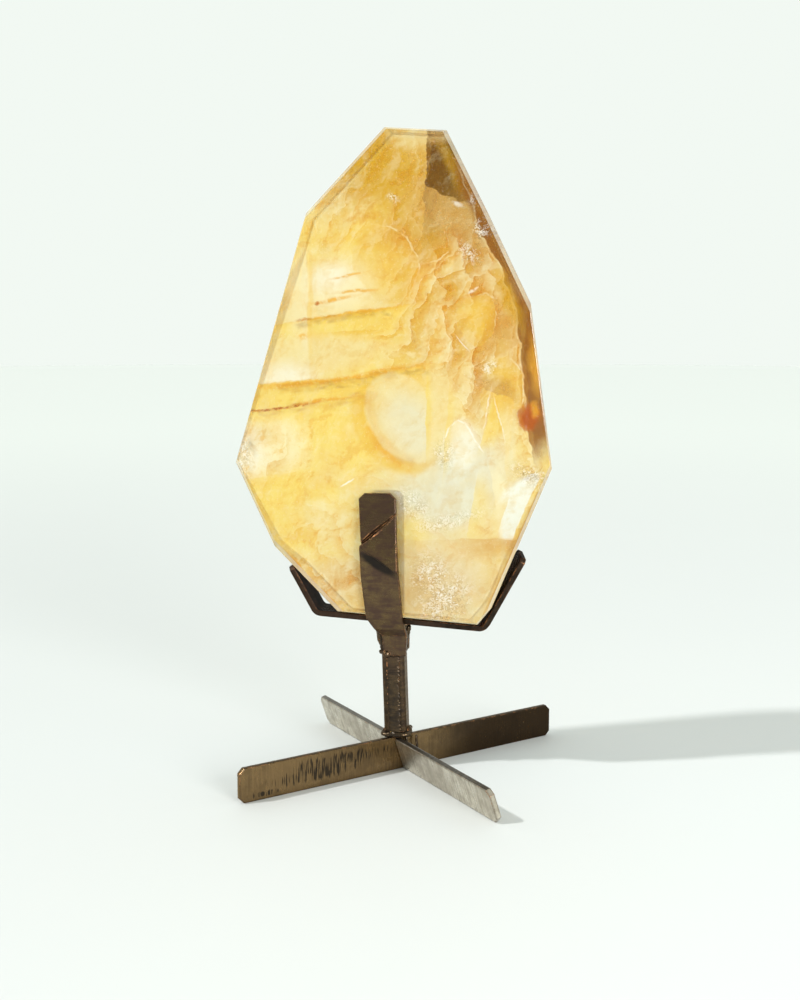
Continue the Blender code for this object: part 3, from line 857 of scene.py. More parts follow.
@dataclass(frozen=True)
class CrystalFinish:
    """Polished quartz: clear glassy body, stained by iron in patches and clouded in its lumps."""

    clearness: float = 0.66
    refraction: float = 1.544
    polish: float = 0.05
    gloss: float = 0.12
    absorbed: Rgb = (1.0, 0.84, 0.45)
    absorption: float = 5.0
    face_depth: float = -0.011
    zone_depth: float = 0.045
    lobe_depth: float = 0.030
    lobe_reach: float = 1.5
    edge: float = 0.03
    cut_blur: float = 0.5
    lean: float = 0.3
    front_painted_reflection: float = 0.55
    back_painted_light: float = 0.5
    front_facets: tuple[float, float] = (-0.0094, -0.0090)
    back_facets: tuple[float, float] = (0.0092, 0.0098)
    light_from: tuple[float, float, float] = (-0.0006, 0.0, 0.0006)
    wide_bends: tuple[tuple[float, float], ...] = ((34.0, 0.010), (120.0, 0.0042), (420.0, 0.0020))
    slight_bends: tuple[tuple[float, float], ...] = ((60.0, 0.0030), (300.0, 0.0012))
    torn_bends: tuple[tuple[float, float], ...] = ((420.0, 0.0045),)
    cloud_scale: float = 62.0
    cloud_rough: float = 0.42
    cloud_contrast: float = 22.0
    grain_scale: float = 420.0
    # How strongly the clouds' painted shade and highlight, and the grains, show beneath the bands and on top
    # of the patches.
    clouds_beneath: float = 0.6
    clouds_on_top: float = 0.3
    smudges: float = 0.22
    squiggle_scale: float = 170.0
    squiggle_count: float = 7.0
    speck_scale: float = 900.0
    specks_everywhere: float = 0.15
    polish_wave: float = 45.0
    polish_depth: float = 0.0006

    def nearness(self, mix: Recipe, place: Socket, patch: Zone | Lobe, depth: float, reach: float) -> Socket:
        """How near the middle of a patch the coordinates are.

        Args:
            mix: The material that is being wired.
            place: The coordinates.
            patch: The patch.
            depth: How far it reaches into the stone.
            reach: How far out this is measured, in the patch's own half sizes.

        Returns:
            1 at the middle and 0 from the reach outwards.
        """
        centre = (patch.across * MM, self.face_depth, patch.up * MM)
        sizes = (patch.half_width * MM * reach, depth * reach, patch.half_height * MM * reach)
        turn = (0.0, -math.radians(patch.turn), 0.0)
        return mix.gradient(mix.placed(place, centre, sizes, turn), "SPHERICAL")

    def ahead(self, mix: Recipe, place: Socket, patch: Zone | Lobe, heading: float, start: float,
              length: float) -> Socket:
        """How far the coordinates lie towards one side of a patch.

        Args:
            mix: The material that is being wired.
            place: The coordinates.
            patch: The patch.
            heading: The side, in degrees up from the right.
            start: How far from the patch's middle this begins, in millimetres.
            length: How long the slope is, in millimetres.

        Returns:
            0 up to the start and 1 from the slope's end.
        """
        angle = math.radians(heading)
        begin = in_metres(patch.across + start * math.cos(angle), patch.up + start * math.sin(angle))
        return mix.gradient(mix.placed(place, begin, (length * MM,) * 3, (0.0, -angle, 0.0)), "LINEAR")

    def zone_mask(self, mix: Recipe, place: Socket, zone: Zone) -> Socket:
        """Where one patch shows.

        Args:
            mix: The material that is being wired.
            place: The coordinates.
            zone: The patch.

        Returns:
            Its share, from 0 to its strength.
        """
        reach = 1.0 + zone.softness
        near = self.nearness(mix, place, zone, self.zone_depth, reach)
        shown = mix.fade(near, 0.0, 2.0 * zone.softness / reach, 0.0, zone.strength)
        if zone.half:
            below = self.ahead(mix, place, zone, zone.turn - 90.0, -self.cut_blur / 2.0, self.cut_blur)
            shown = mix.product(shown, below)
        return shown

    def area(self, mix: Recipe, place: Socket, zones: Sequence[Zone]) -> Socket:
        """Where any of several patches shows.

        Args:
            mix: The material that is being wired.
            place: The coordinates.
            zones: The patches.

        Returns:
            Their share, from 0 to the strongest one's strength.
        """
        shown = self.zone_mask(mix, place, zones[0])
        for zone in zones[1:]:
            shown = mix.math("MAXIMUM", shown, self.zone_mask(mix, place, zone))
        return shown

    def laid(self, mix: Recipe, place: Socket, tint: Socket, zones: Sequence[Zone]) -> Socket:
        """Lays patches over a colour, one after another.

        Args:
            mix: The material that is being wired.
            place: The coordinates.
            tint: The colour underneath.
            zones: The patches.

        Returns:
            The colour with the patches.
        """
        for zone in zones:
            tint = mix.blend(self.zone_mask(mix, place, zone), tint, zone.tone.value)
        return tint

    def lobed(self, mix: Recipe, place: Socket, tint: Socket, broken: Socket) -> Socket:
        """Adds the growth lumps, each with a painted highlight on its rim and a painted shadow on what lies
        behind it.

        Args:
            mix: The material that is being wired.
            place: The wandering coordinates.
            tint: The colour underneath.
            broken: Where their rims are whole.

        Returns:
            The colour with the lumps.
        """
        rim, unit = 1.0 - 1.0 / self.lobe_reach, 1.0 / self.lobe_reach
        for lobe in STONE_LOBES:
            near = self.nearness(mix, place, lobe, self.lobe_depth, self.lobe_reach)
            size = 0.5 * (lobe.half_width + lobe.half_height)
            facing = self.ahead(mix, place, lobe, lobe.bulge, -0.1 * size, 0.8 * size)
            # Painted shadow outside the rim, on the side that the lump bulges to.
            shade = mix.product(mix.fade(near, 0.02, rim, 0.0, 0.65 * lobe.rim), facing)
            tint = mix.blend(shade, tint, StoneTone.HONEY.value, "MULTIPLY")
            inside = mix.fade(near, rim - self.edge * unit, rim + self.edge * unit)
            deep = mix.fade(near, rim, rim + 0.7 * unit, 0.55 * lobe.strength, lobe.strength)
            tint = mix.blend(mix.product(inside, deep), tint, lobe.tone.value)
            # Painted highlight along the rim, on that side.
            off_rim = mix.math("ABSOLUTE", mix.math("SUBTRACT", near, rim + 0.015 * unit))
            line = mix.fade(off_rim, 0.0, 0.06 * unit, lobe.rim, 0.0)
            tint = mix.blend(mix.product(line, facing, broken), tint, StoneTone.PALE.value)
        return tint

    def layered(self, mix: Recipe, place: Socket, tint: Socket, broken: Socket, layers: Layering) -> Socket:
        """Adds growth layers, some stained, with painted shade, painted light and a painted highlight in
        each.

        Args:
            mix: The material that is being wired.
            place: The wandering coordinates.
            tint: The colour underneath.
            broken: Where their bright edges are whole.
            layers: The layers.

        Returns:
            The colour with the layers.
        """
        shown = mix.product(self.area(mix, place, layers.area), layers.strength)
        angle, pitch = math.radians(layers.heading), layers.spacing * MM
        heading = (math.cos(angle) / pitch, self.lean / pitch, math.sin(angle) / pitch)
        waves = mix.clouds(place, layers.waves, 3.0, 0.5)
        level = mix.math("MULTIPLY_ADD", waves, layers.wobble, mix.vector("DOT_PRODUCT", place, heading))
        share = mix.math("FRACT", level)
        chance = mix.add("ShaderNodeTexWhiteNoise", noise_dimensions="1D")
        mix.feed(chance.inputs["W"], mix.math("FLOOR", level))
        stained = mix.fade(chance.outputs["Value"], 0.3, 0.9, 0.0, 0.75)
        tint = mix.blend(mix.product(shown, stained), tint, layers.tone.value)
        # Painted shade at the start of each layer, and painted light towards its end.
        dark = mix.product(shown, mix.fade(share, 0.0, 0.55, 0.9, 0.0))
        tint = mix.blend(dark, tint, StoneTone.SHADE.value, "MULTIPLY")
        light = mix.product(shown, mix.fade(share, 0.4, 1.0, 0.0, 0.6))
        tint = mix.blend(light, tint, StoneTone.PALE.value)
        # A painted highlight on each layer's crisp edge, where it is whole.
        rim = mix.product(shown, mix.fade(share, 0.88, 0.98, 0.0, 0.8), broken)
        return mix.blend(rim, tint, StoneTone.PALE.value)

    def clouds_in_light(self, mix: Recipe, place: Socket) -> tuple[Socket, Socket]:
        """Milky clouds seen lit from the upper left, and fine grains.

        Args:
            mix: The material that is being wired.
            place: The wandering coordinates.

        Returns:
            The clouds, from -1 in the shade to 1 in the light, and the grains, from 0 to 1.
        """
        here = mix.clouds(place, self.cloud_scale, rough=self.cloud_rough)
        lit_side = mix.vector("ADD", place, self.light_from)
        there = mix.clouds(lit_side, self.cloud_scale, rough=self.cloud_rough)
        slope = mix.product(mix.math("SUBTRACT", here, there), self.cloud_contrast)
        return slope, mix.clouds(mix.place, self.grain_scale, rough=0.65)

    def clouded(self, mix: Recipe, tint: Socket, clouds: tuple[Socket, Socket], amount: float) -> Socket:
        """Adds the milky clouds, as painted shade and painted highlight on their slopes, and the grains.

        Args:
            mix: The material that is being wired.
            tint: The colour underneath.
            clouds: The clouds and the grains.
            amount: How strongly they show.

        Returns:
            The colour with the clouds.
        """
        slope, grain = clouds
        # Painted shade on slopes turned from the light and painted highlight on those turned to it; then the
        # grains, darker and lighter at random.
        tint = mix.blend(mix.fade(slope, -1.0, 0.0, amount, 0.0), tint, StoneTone.SHADE.value, "MULTIPLY")
        tint = mix.blend(mix.fade(slope, 0.0, 1.0, 0.0, 0.7 * amount), tint, StoneTone.PALE.value)
        dark_grain = mix.fade(grain, 0.30, 0.46, 0.3 * amount, 0.0)
        tint = mix.blend(dark_grain, tint, StoneTone.SHADE.value, "MULTIPLY")
        return mix.blend(mix.fade(grain, 0.56, 0.72, 0.0, 0.3 * amount), tint, StoneTone.PALE.value)

    def crushed(self, mix: Recipe, place: Socket, tint: Socket) -> Socket:
        """Adds the nests of white squiggles where the stone is finely crushed, and specks of painted glint,
        most of them in the nests.

        Args:
            mix: The material that is being wired.
            place: The wandering coordinates.
            tint: The colour underneath.

        Returns:
            The colour with the squiggles.
        """
        shown = self.area(mix, place, CRUSHED_AREAS)
        torn = mix.wandering(mix.place, *self.torn_bends)
        level = mix.product(mix.clouds(torn, self.squiggle_scale, rough=0.65), self.squiggle_count)
        share = mix.math("FRACT", level)
        off_line = mix.math("ABSOLUTE", mix.math("SUBTRACT", share, 0.5))
        between = mix.product(shown, mix.fade(off_line, 0.20, 0.5, 0.0, 0.75))
        tint = mix.blend(between, tint, StoneTone.ASH.value, "MULTIPLY")
        line = mix.product(shown, mix.fade(off_line, 0.02, 0.34, 1.0, 0.0))
        whole = mix.fade(mix.clouds(mix.place, 210.0, 3.0), 0.42, 0.60)
        tint = mix.blend(mix.product(line, whole), tint, StoneTone.GLINT.value)
        # The specks are painted glints: tiny white points of sparkle.
        specks = mix.fade(mix.clouds(mix.place, self.speck_scale, 1.0), 0.64, 0.70)
        speckled = mix.math("MAXIMUM", shown, self.specks_everywhere)
        return mix.blend(mix.product(specks, speckled), tint, StoneTone.GLINT.value)

    def ground(self, mix: Recipe, tint: Socket) -> Socket:
        """Lightens the slanted ground facets at the front and back borders: a painted reflection on the
        front ones, painted light on the back ones.

        Args:
            mix: The material that is being wired.
            tint: The colour underneath.

        Returns:
            The colour with lighter facets.
        """
        normal = mix.add("ShaderNodeNewGeometry").outputs["True Normal"]
        level = mix.math("ABSOLUTE", mix.vector("DOT_PRODUCT", normal, (0.0, 1.0, 0.0)))
        depth = mix.vector("DOT_PRODUCT", mix.place, (0.0, 1.0, 0.0))
        # Silver on the slanted facets: a painted reflection on the front ones and painted light on the back
        # ones.
        slanted = mix.fade(level, 0.90, 0.97, 1.0, 0.0)
        front = mix.fade(depth, *self.front_facets, self.front_painted_reflection, 0.0)
        back = mix.fade(depth, *self.back_facets, 0.0, self.back_painted_light)
        return mix.blend(mix.product(slanted, mix.math("ADD", front, back)), tint, StoneTone.SILVER.value)

    def colour(self, mix: Recipe) -> Socket:
        """The stone's colour: stained patches, bands, growth layers, lumps, veins and crushed nests,
        with painted shade and highlights, painted glints, a painted shadow and painted light on the ground
        facets.

        Args:
            mix: The material that is being wired.

        Returns:
            The colour.
        """
        steady = mix.wandering(mix.place, *self.slight_bends)
        bent = mix.wandering(mix.place, *self.wide_bends)
        broken = mix.fade(mix.clouds(mix.place, 130.0), 0.42, 0.60)
        tint = mix.blend(mix.fade(mix.clouds(mix.place, 22.0, 2.0), 0.38, 0.62), StoneTone.CREAM.value,
                         StoneTone.YELLOW.value)
        tint = self.laid(mix, bent, tint, STONE_ZONES)
        for layers in STONE_LAYERS:
            tint = self.layered(mix, bent, tint, broken, layers)
        clouds = self.clouds_in_light(mix, bent)
        tint = self.clouded(mix, tint, clouds, self.clouds_beneath)
        tint = self.laid(mix, steady, tint, STONE_BANDS)
        tint = self.lobed(mix, bent, tint, broken)
        tint = self.laid(mix, steady, tint, (*STONE_POCKETS, *STONE_CUTS))
        tint = self.laid(mix, bent, tint, STONE_PATCHES)
        tint = self.clouded(mix, tint, clouds, self.clouds_on_top)
        tint = self.laid(mix, bent, tint, STONE_EDGES)
        patchy = mix.fade(mix.clouds(mix.place, 240.0), 0.38, 0.52, 0.3, 1.0)
        for vein in FINE_VEINS:
            tint = mix.blend(mix.product(self.zone_mask(mix, steady, vein), patchy), tint, vein.tone.value)
        smudged = mix.fade(mix.clouds(bent, 90.0), 0.36, 0.56, self.smudges, 0.0)
        tint = mix.blend(smudged, tint, StoneTone.SHADE.value, "MULTIPLY")
        return self.ground(mix, self.crushed(mix, bent, tint))

    def made(self) -> bpy.types.Material:
        """Wires the finish.

        Returns:
            The material.
        """
        mix = Recipe("golden_quartz_polished")
        rough = mix.fade(mix.clouds(mix.place, 60.0, 3.0), 0.4, 0.7, self.polish, self.polish * 2.2)
        normal = mix.relief(mix.clouds(mix.place, self.polish_wave, 1.0), self.polish_depth, 0.2)
        mix.surface(Base_Color=self.colour(mix), Roughness=rough, IOR=self.refraction,
                    Transmission_Weight=self.clearness, Specular_IOR_Level=self.gloss, Normal=normal)
        soak = mix.add("ShaderNodeVolumeAbsorption")
        mix.feed(soak.inputs["Color"], self.absorbed)
        mix.feed(soak.inputs["Density"], self.absorption)
        mix.tree.links.new(soak.outputs[0], mix.output.inputs["Volume"])
        return mix.material


@dataclass(frozen=True)
class StainFinish:
    """A thin film of iron stain inside the stone, which colours the light that passes it."""

    tone: StoneTone
    low: float = 0.42
    high: float = 0.68
    grain: float = 260.0
    strength: float = 0.5

    def made(self) -> bpy.types.Material:
        """Wires the finish.

        Returns:
            The material.
        """
        mix = Recipe(f"iron_film_{self.tone.name.lower()}")
        grain = mix.clouds(mix.place, self.grain, 4.0, 0.65)
        film = mix.add("ShaderNodeBsdfTransparent")
        tint = mix.blend(mix.fade(grain, self.low, self.high, 0.0, self.strength), StoneTone.GLINT.value,
                         self.tone.value)
        mix.feed(film.inputs["Color"], tint)
        mix.tree.links.new(film.outputs[0], mix.output.inputs["Surface"])
        return mix.material


@dataclass(frozen=True)
class GapFinish:
    """The walls of an open crack: quartz against a thin film of air, which mirrors at a slant."""

    refraction: float = 1.544
    roughness: float = 0.04

    def made(self) -> bpy.types.Material:
        """Wires the finish.

        Returns:
            The material.
        """
        mix = Recipe("open_crack")
        grain = mix.clouds(mix.place, 500.0, 2.0)
        tint = mix.blend(mix.fade(grain, 0.4, 0.7), StoneTone.GLINT.value, StoneTone.SILVER.value)
        mix.surface(Base_Color=tint, Roughness=self.roughness, IOR=self.refraction, Transmission_Weight=1.0)
        return mix.material


@dataclass
class QuartzSlab:
    """The stone: its ground and polished body, the healed cracks and the crumpled veils inside it."""

    edge_width: float = 0.00035
    edge_angle: float = math.radians(3)
    line_step: float = 0.0012
    sheet_rows: int = 9
    ruffle_scale: float = 260.0
    veil_cells: int = 40
    crumple_scale: float = 170.0
    gap_width: float = 0.00012
    film_width: float = 0.00004
    cover: float = 0.0012
    front: float = -11.0
    glint_size: float = 0.0009
    glint_thickness: float = 0.00012
    glint_corners: int = 5
    glint_least: tuple[float, float, float] = (0.15, 0.3, 0.5)
    glint_seed: int = 11
    glints_per_square_metre: float = 120000.0
    seams: tuple[Seam, ...] = STONE_SEAMS
    veils: tuple[Veil, ...] = STONE_VEILS
    finish: CrystalFinish = field(default_factory=CrystalFinish)
    walls: list[tuple[Vector, Vector]] = field(default_factory=list, init=False)

    def covered(self, point: Vector) -> bool:
        """Whether a point lies inside the stone, with some stone over it.

        Args:
            point: The point.

        Returns:
            True if it does.
        """
        return all((point - spot).dot(outward) < -self.cover for spot, outward in self.walls)

    def build_body(self) -> None:
        """Makes the slab's body, whose ground edges are a little rounded by the polishing."""
        body = merged_copy("quartz")
        self.walls = [(face.calc_center_median(), face.normal.copy()) for face in body.faces]
        sharp = [edge for edge in body.edges if edge.calc_face_angle(0.0) > self.edge_angle]
        bmesh.ops.bevel(body, geom=sharp, offset=self.edge_width, segments=2, profile=0.5, affect="EDGES",
                        clamp_overlap=True)
        mesh = mesh_from("quartz_slab", body)
        mesh.materials.append(self.finish.made())
        new_piece("quartz_slab", mesh, STONE_SLOT, "quartz")

    def seam_rows(self, seam: Seam, seed: int) -> list[list[Vector]]:
        """Works out one healed crack's sheet.

        Args:
            seam: The crack.
            seed: Which part of the noise it uses.

        Returns:
            Its points, row by row, from the front into the stone.
        """
        line = smooth_line([in_metres(across, up) for across, up in seam.line], self.line_step)
        rows = []
        for number in range(self.sheet_rows):
            share = number / (self.sheet_rows - 1)
            depth = (self.front + seam.shallow + (seam.deep - seam.shallow) * share) * MM
            row = []
            for before, point, after in zip([line[0], *line], line, [*line[1:], line[-1]]):
                along = (after - before).normalized()
                aside = Vector((-along.z, 0.0, along.x))
                spot = Vector((point.x, depth * 1.6, point.z)) * self.ruffle_scale
                spot += Vector((seed * 7.3, 0.0, 0.0))
                shift = seam.ruffle * MM * (noise.fractal(spot, 0.7, 2.1, 4) + 0.3 * noise.noise(spot * 3))
                row.append(Vector((point.x, depth, point.z)) + aside * (shift + seam.lean * MM * share))
            rows.append(row)
        return rows

    def build_seams(self) -> None:
        """Makes the healed cracks, one piece for each stain."""
        for tone in sorted({seam.tone for seam in self.seams}, key=lambda tone: tone.name):
            sheets = bmesh.new()
            for seed, seam in enumerate(self.seams):
                if seam.tone is tone:
                    add_sheet(sheets, self.seam_rows(seam, seed), self.covered)
            close_sheets(sheets, self.film_width)
            name = f"healed_cracks_{tone.name.lower()}"
            mesh = mesh_from(name, sheets)
            mesh.materials.append(StainFinish(tone).made())
            new_piece(name, mesh, STONE_SLOT)

    def veil_rows(self, veil: Veil, seed: int) -> list[list[Vector]]:
        """Works out one crumpled veil.

        Args:
            veil: The veil.
            seed: Which part of the noise it uses.

        Returns:
            Its points, row by row.
        """
        turned, middle = veil.frame()
        rows = []
        for down in range(self.veil_cells + 1):
            row = []
            for over in range(self.veil_cells + 1):
                x = 2.0 * over / self.veil_cells - 1.0
                z = 2.0 * down / self.veil_cells - 1.0
                round_x = x * math.sqrt(1.0 - z * z / 2.0) * veil.half_width * MM
                round_z = z * math.sqrt(1.0 - x * x / 2.0) * veil.half_height * MM
                spot = Vector((round_x, seed * 3.7, round_z)) * self.crumple_scale
                lift = veil.ruffle * MM * (noise.ridged_multi_fractal(spot, 0.9, 2.2, 4, 0.9, 2.0) - 0.9)
                row.append(middle + turned @ Vector((round_x, lift * 0.6, round_z)))
            rows.append(row)
        return rows

    def build_veils(self) -> bpy.types.Object:
        """Makes the crumpled veils, as thin gaps whose walls face the air inside them.

        Returns:
            The piece that holds them all.
        """
        sheets = bmesh.new()
        for seed, veil in enumerate(self.veils):
            add_sheet(sheets, self.veil_rows(veil, seed),
                      lambda point, veil=veil: veil.reaches(point) and self.covered(point))
        close_sheets(sheets, self.gap_width)
        bmesh.ops.reverse_faces(sheets, faces=sheets.faces)
        mesh = mesh_from("fracture_veils", sheets)
        mesh.materials.append(GapFinish().made())
        return new_piece("fracture_veils", mesh, STONE_SLOT)

    def glint_tree(self, finish: bpy.types.Material) -> bpy.types.NodeTree:
        """Wires the nodes that scatter small bright flakes over the veils.

        Args:
            finish: The flakes' material.

        Returns:
            The node tree.
        """
        wire, given = geometry_tree("scattered_flakes", Flakes_per_square_metre="Float", Flake_size="Float",
                                    Seed="Int")
        scatter = wire.add("GeometryNodeDistributePointsOnFaces")
        wire.feed(scatter.inputs["Mesh"], given["Geometry"])
        wire.feed(scatter.inputs["Density"], given["Flakes per square metre"])
        wire.feed(scatter.inputs["Seed"], given["Seed"])
        flake = wire.add("GeometryNodeMeshCone", fill_type="NGON")
        flake.inputs["Vertices"].default_value = self.glint_corners
        wire.feed(flake.inputs["Radius Bottom"], given["Flake size"])
        flake.inputs["Depth"].default_value = self.glint_thickness
        turn = wire.add("FunctionNodeRandomValue", data_type="FLOAT_VECTOR")
        turn.inputs["Max"].default_value = (math.tau, math.tau, math.tau)
        size = wire.add("FunctionNodeRandomValue", data_type="FLOAT_VECTOR")
        size.inputs["Min"].default_value = self.glint_least
        size.inputs["Max"].default_value = (1.0, 1.0, 1.0)
        for chance in (turn, size):
            wire.feed(chance.inputs["Seed"], given["Seed"])
        flipped = wire.add("GeometryNodeFlipFaces")
        wire.feed(flipped.inputs[0], flake.outputs["Mesh"])
        place = wire.add("GeometryNodeInstanceOnPoints")
        wire.feed(place.inputs["Points"], scatter.outputs["Points"])
        wire.feed(place.inputs["Instance"], flipped.outputs[0])
        wire.feed(place.inputs["Rotation"], turn.outputs["Value"])
        wire.feed(place.inputs["Scale"], size.outputs["Value"])
        return end_tree(wire, place.outputs[0], finish)

    def build_glints(self, veils: bpy.types.Object) -> None:
        """Scatters bright flakes over the veils.

        Args:
            veils: The piece that holds the veils.
        """
        tree = self.glint_tree(veils.data.materials[0])
        mesh = run_geometry_nodes("fracture_glints", veils.data.copy(), tree, {
            "Flakes per square metre": self.glints_per_square_metre, "Flake size": self.glint_size,
            "Seed": self.glint_seed})
        new_piece("fracture_glints", mesh, STONE_SLOT)

    def build(self) -> None:
        """Builds the whole stone."""
        self.build_body()
        self.build_seams()
        self.build_glints(self.build_veils())


@dataclass(frozen=True)
class BronzeFinish:
    """Brown patina brushed across the bar, copper-bright on its edges from wear and as a painted highlight,
    under a thin clear lacquer.

    The copper line's place across, and the painted shadow's place and turn, are in millimetres and degrees.
    """

    name: str
    light: MetalTone
    dark: MetalTone
    along: float = 0.0
    fibres: tuple[float, float, float] = (900.0, 60.0, 40.0)
    dark_from: float | None = None
    marks: bool = False
    copper_line: float | None = None
    lacquer: float = 0.22
    roughness: float = 0.30
    edge_reach: float = 0.0008
    edge: MetalTone = MetalTone.COPPER
    sheen: MetalTone = MetalTone.UMBER
    # How dark the upward faces are painted, as painted shade on the tops.
    top_painted_shade: float = 0.85
    grazing: Rgb = (0.6, 0.5, 0.4)
    # Where the painted shadow under the front prong's lapped plate lies: across, up and turn.
    lap_shadow_at: tuple[float, float, float] | None = None
    lap_shadow_depth: float = -14.0
    lap_shadow_reach: tuple[float, float, float] = (0.0145, 0.04, 0.0036)
    dots_depth: float = -0.0068
    dots_height: float = 0.044
    dots_reach: tuple[float, float, float] = (0.0006, 0.0016, 0.023)
    dots_scale: float = 620.0
    mottle_scale: float = 150.0
    sheen_scale: float = 34.0
    wear_scale: float = 260.0
    relief_depth: float = 0.0005

    def made(self) -> bpy.types.Material:
        """Wires the finish.

        Returns:
            The material.
        """
        mix = Recipe(self.name)
        turned = mix.placed(mix.place, (0.0, 0.0, 0.0), (1.0, 1.0, 1.0), (0.0, 0.0, self.along))
        brushed = mix.clouds(mix.vector("MULTIPLY", turned, self.fibres), 1.0, 4.0, 0.65)
        mottled = mix.clouds(turned, self.mottle_scale, 5.0, 0.66)
        broad = mix.clouds(turned, self.sheen_scale, 2.0)
        share = mix.math("ADD", mix.product(brushed, 0.45), mix.product(mottled, 0.55))
        tint = mix.blend(mix.fade(share, 0.40, 0.60), self.dark.value, self.light.value)
        tint = mix.blend(mix.fade(broad, 0.48, 0.62, 0.0, 0.5), tint, self.sheen.value)
        tint = mix.blend(mix.fade(mottled, 0.58, 0.70, 0.0, 0.3), tint, MetalTone.TAN.value)
        if self.dark_from is not None:
            end = mix.vector("DOT_PRODUCT", turned, (1.0, 0.0, 0.0))
            tint = mix.blend(mix.fade(end, self.dark_from, self.dark_from + 0.05, 0.0, 0.9), tint,
                             MetalTone.BROWN.value, "MULTIPLY")
        if self.marks:
            tint = self.comb_marks(mix, turned, tint)
        rounded = mix.add("ShaderNodeBevel", samples=4)
        rounded.inputs["Radius"].default_value = self.edge_reach
        straight = mix.add("ShaderNodeNewGeometry").outputs["True Normal"]
        # Painted shade: the faces that point up are darker.
        painted_top_shade = mix.fade(mix.vector("DOT_PRODUCT", straight, (0.0, 0.0, 1.0)), 0.6, 0.9, 0.0, self.top_painted_shade)
        tint = mix.blend(painted_top_shade, tint, MetalTone.DARK.value)
        bend = mix.math("SUBTRACT", 1.0, mix.vector("DOT_PRODUCT", rounded.outputs[0], straight))
        # A black band where the faces begin to round into the edges.
        dark_edge_band = mix.fade(bend, 0.002, 0.03, 0.0, 0.6)
        tint = mix.blend(dark_edge_band, tint, MetalTone.BLACK.value)
        # Copper where the edges bend most: wear, and a painted highlight along the edges.
        worn_and_lit_edge = mix.fade(bend, 0.03, 0.12)
        uneven = mix.fade(mix.clouds(turned, self.wear_scale), 0.46, 0.62, 0.1, 1.0)
        tint = mix.blend(mix.product(worn_and_lit_edge, uneven), tint, self.edge.value)
        if self.copper_line is not None:
            tint = self.copper_dots(mix, tint)
        # Painted shadow under the front prong's lapped plate.
        if self.lap_shadow_at is not None:
            tint = self.painted_lap_shadow(mix, tint)
        bump = mix.relief(mix.math("ADD", mix.product(brushed, 0.5), mottled), self.relief_depth, 0.4)
        mix.feed(bump.node.inputs["Normal"], rounded.outputs[0])
        mix.surface(Base_Color=tint, Metallic=0.9, Normal=bump, Specular_Tint=self.grazing,
                    Roughness=mix.fade(share, 0.3, 0.7, self.roughness + 0.12, self.roughness - 0.08),
                    Coat_Weight=self.lacquer, Coat_Roughness=0.08, Coat_IOR=1.5,
                    Coat_Normal=rounded.outputs[0])
        return mix.material

    def comb_marks(self, mix: Recipe, turned: Socket, tint: Socket) -> Socket:
        """Black upright ticks in rows on the front face of the long bar.

        Args:
            mix: The material that is being wired.
            turned: Coordinates along the bar.
            tint: The colour that they are laid over.

        Returns:
            The colour with the ticks.
        """
        in_front = mix.fade(mix.vector("DOT_PRODUCT", turned, (0.0, 1.0, 0.0)), -0.0006, 0.0, 1.0, 0.0)
        for middle, height, half_long, half_high in COMB_ROWS:
            teeth = mix.clouds(mix.vector("MULTIPLY", turned, (900.0, 0.0, 20.0)), 1.0, 2.0, 0.8)
            own = mix.placed(turned, (middle, 0.0, height), (half_long, 0.02, half_high))
            row = mix.vector("LENGTH", own)
            tall = mix.math("MULTIPLY_ADD", teeth, 3.0, -1.5)
            reached = mix.fade(mix.math("SUBTRACT", mix.math("ADD", 1.0, tall), row), 0.0, 0.3, 0.0, 0.85)
            gaps = mix.clouds(mix.vector("MULTIPLY", turned, (1100.0, 0.0, 90.0)), 1.0, 1.0)
            apart = mix.fade(gaps, 0.44, 0.56)
            tint = mix.blend(mix.product(reached, apart, in_front), tint, MetalTone.BLACK.value)
        return tint

    def painted_lap_shadow(self, mix: Recipe, tint: Socket) -> Socket:
        """Painted shadow, black, along a slanting line under the lapped plate on the front prong.

        Args:
            mix: The material that is being wired.
            tint: The colour that it is laid over.

        Returns:
            The colour with the soot.
        """
        across, up, turn = self.lap_shadow_at
        own = mix.placed(mix.place, in_metres(across, up, self.lap_shadow_depth), self.lap_shadow_reach,
                         (0.0, -math.radians(turn), 0.0))
        near = mix.fade(mix.vector("LENGTH", own), 0.5, 1.05, 0.9, 0.0)
        return mix.blend(near, tint, MetalTone.BLACK.value)

    def copper_dots(self, mix: Recipe, tint: Socket) -> Socket:
        """A dotted copper line down one side of the post's bead.

        Args:
            mix: The material that is being wired.
            tint: The colour that it is laid over.

        Returns:
            The colour with the line.
        """
        middle = (self.copper_line * MM, self.dots_depth, self.dots_height)
        own = mix.placed(mix.place, middle, self.dots_reach)
        near = mix.fade(mix.vector("LENGTH", own), 0.6, 1.1, 1.0, 0.0)
        dots = mix.fade(mix.clouds(mix.place, self.dots_scale, 1.0), 0.48, 0.56)
        return mix.blend(mix.product(near, dots), tint, MetalTone.COPPER.value)


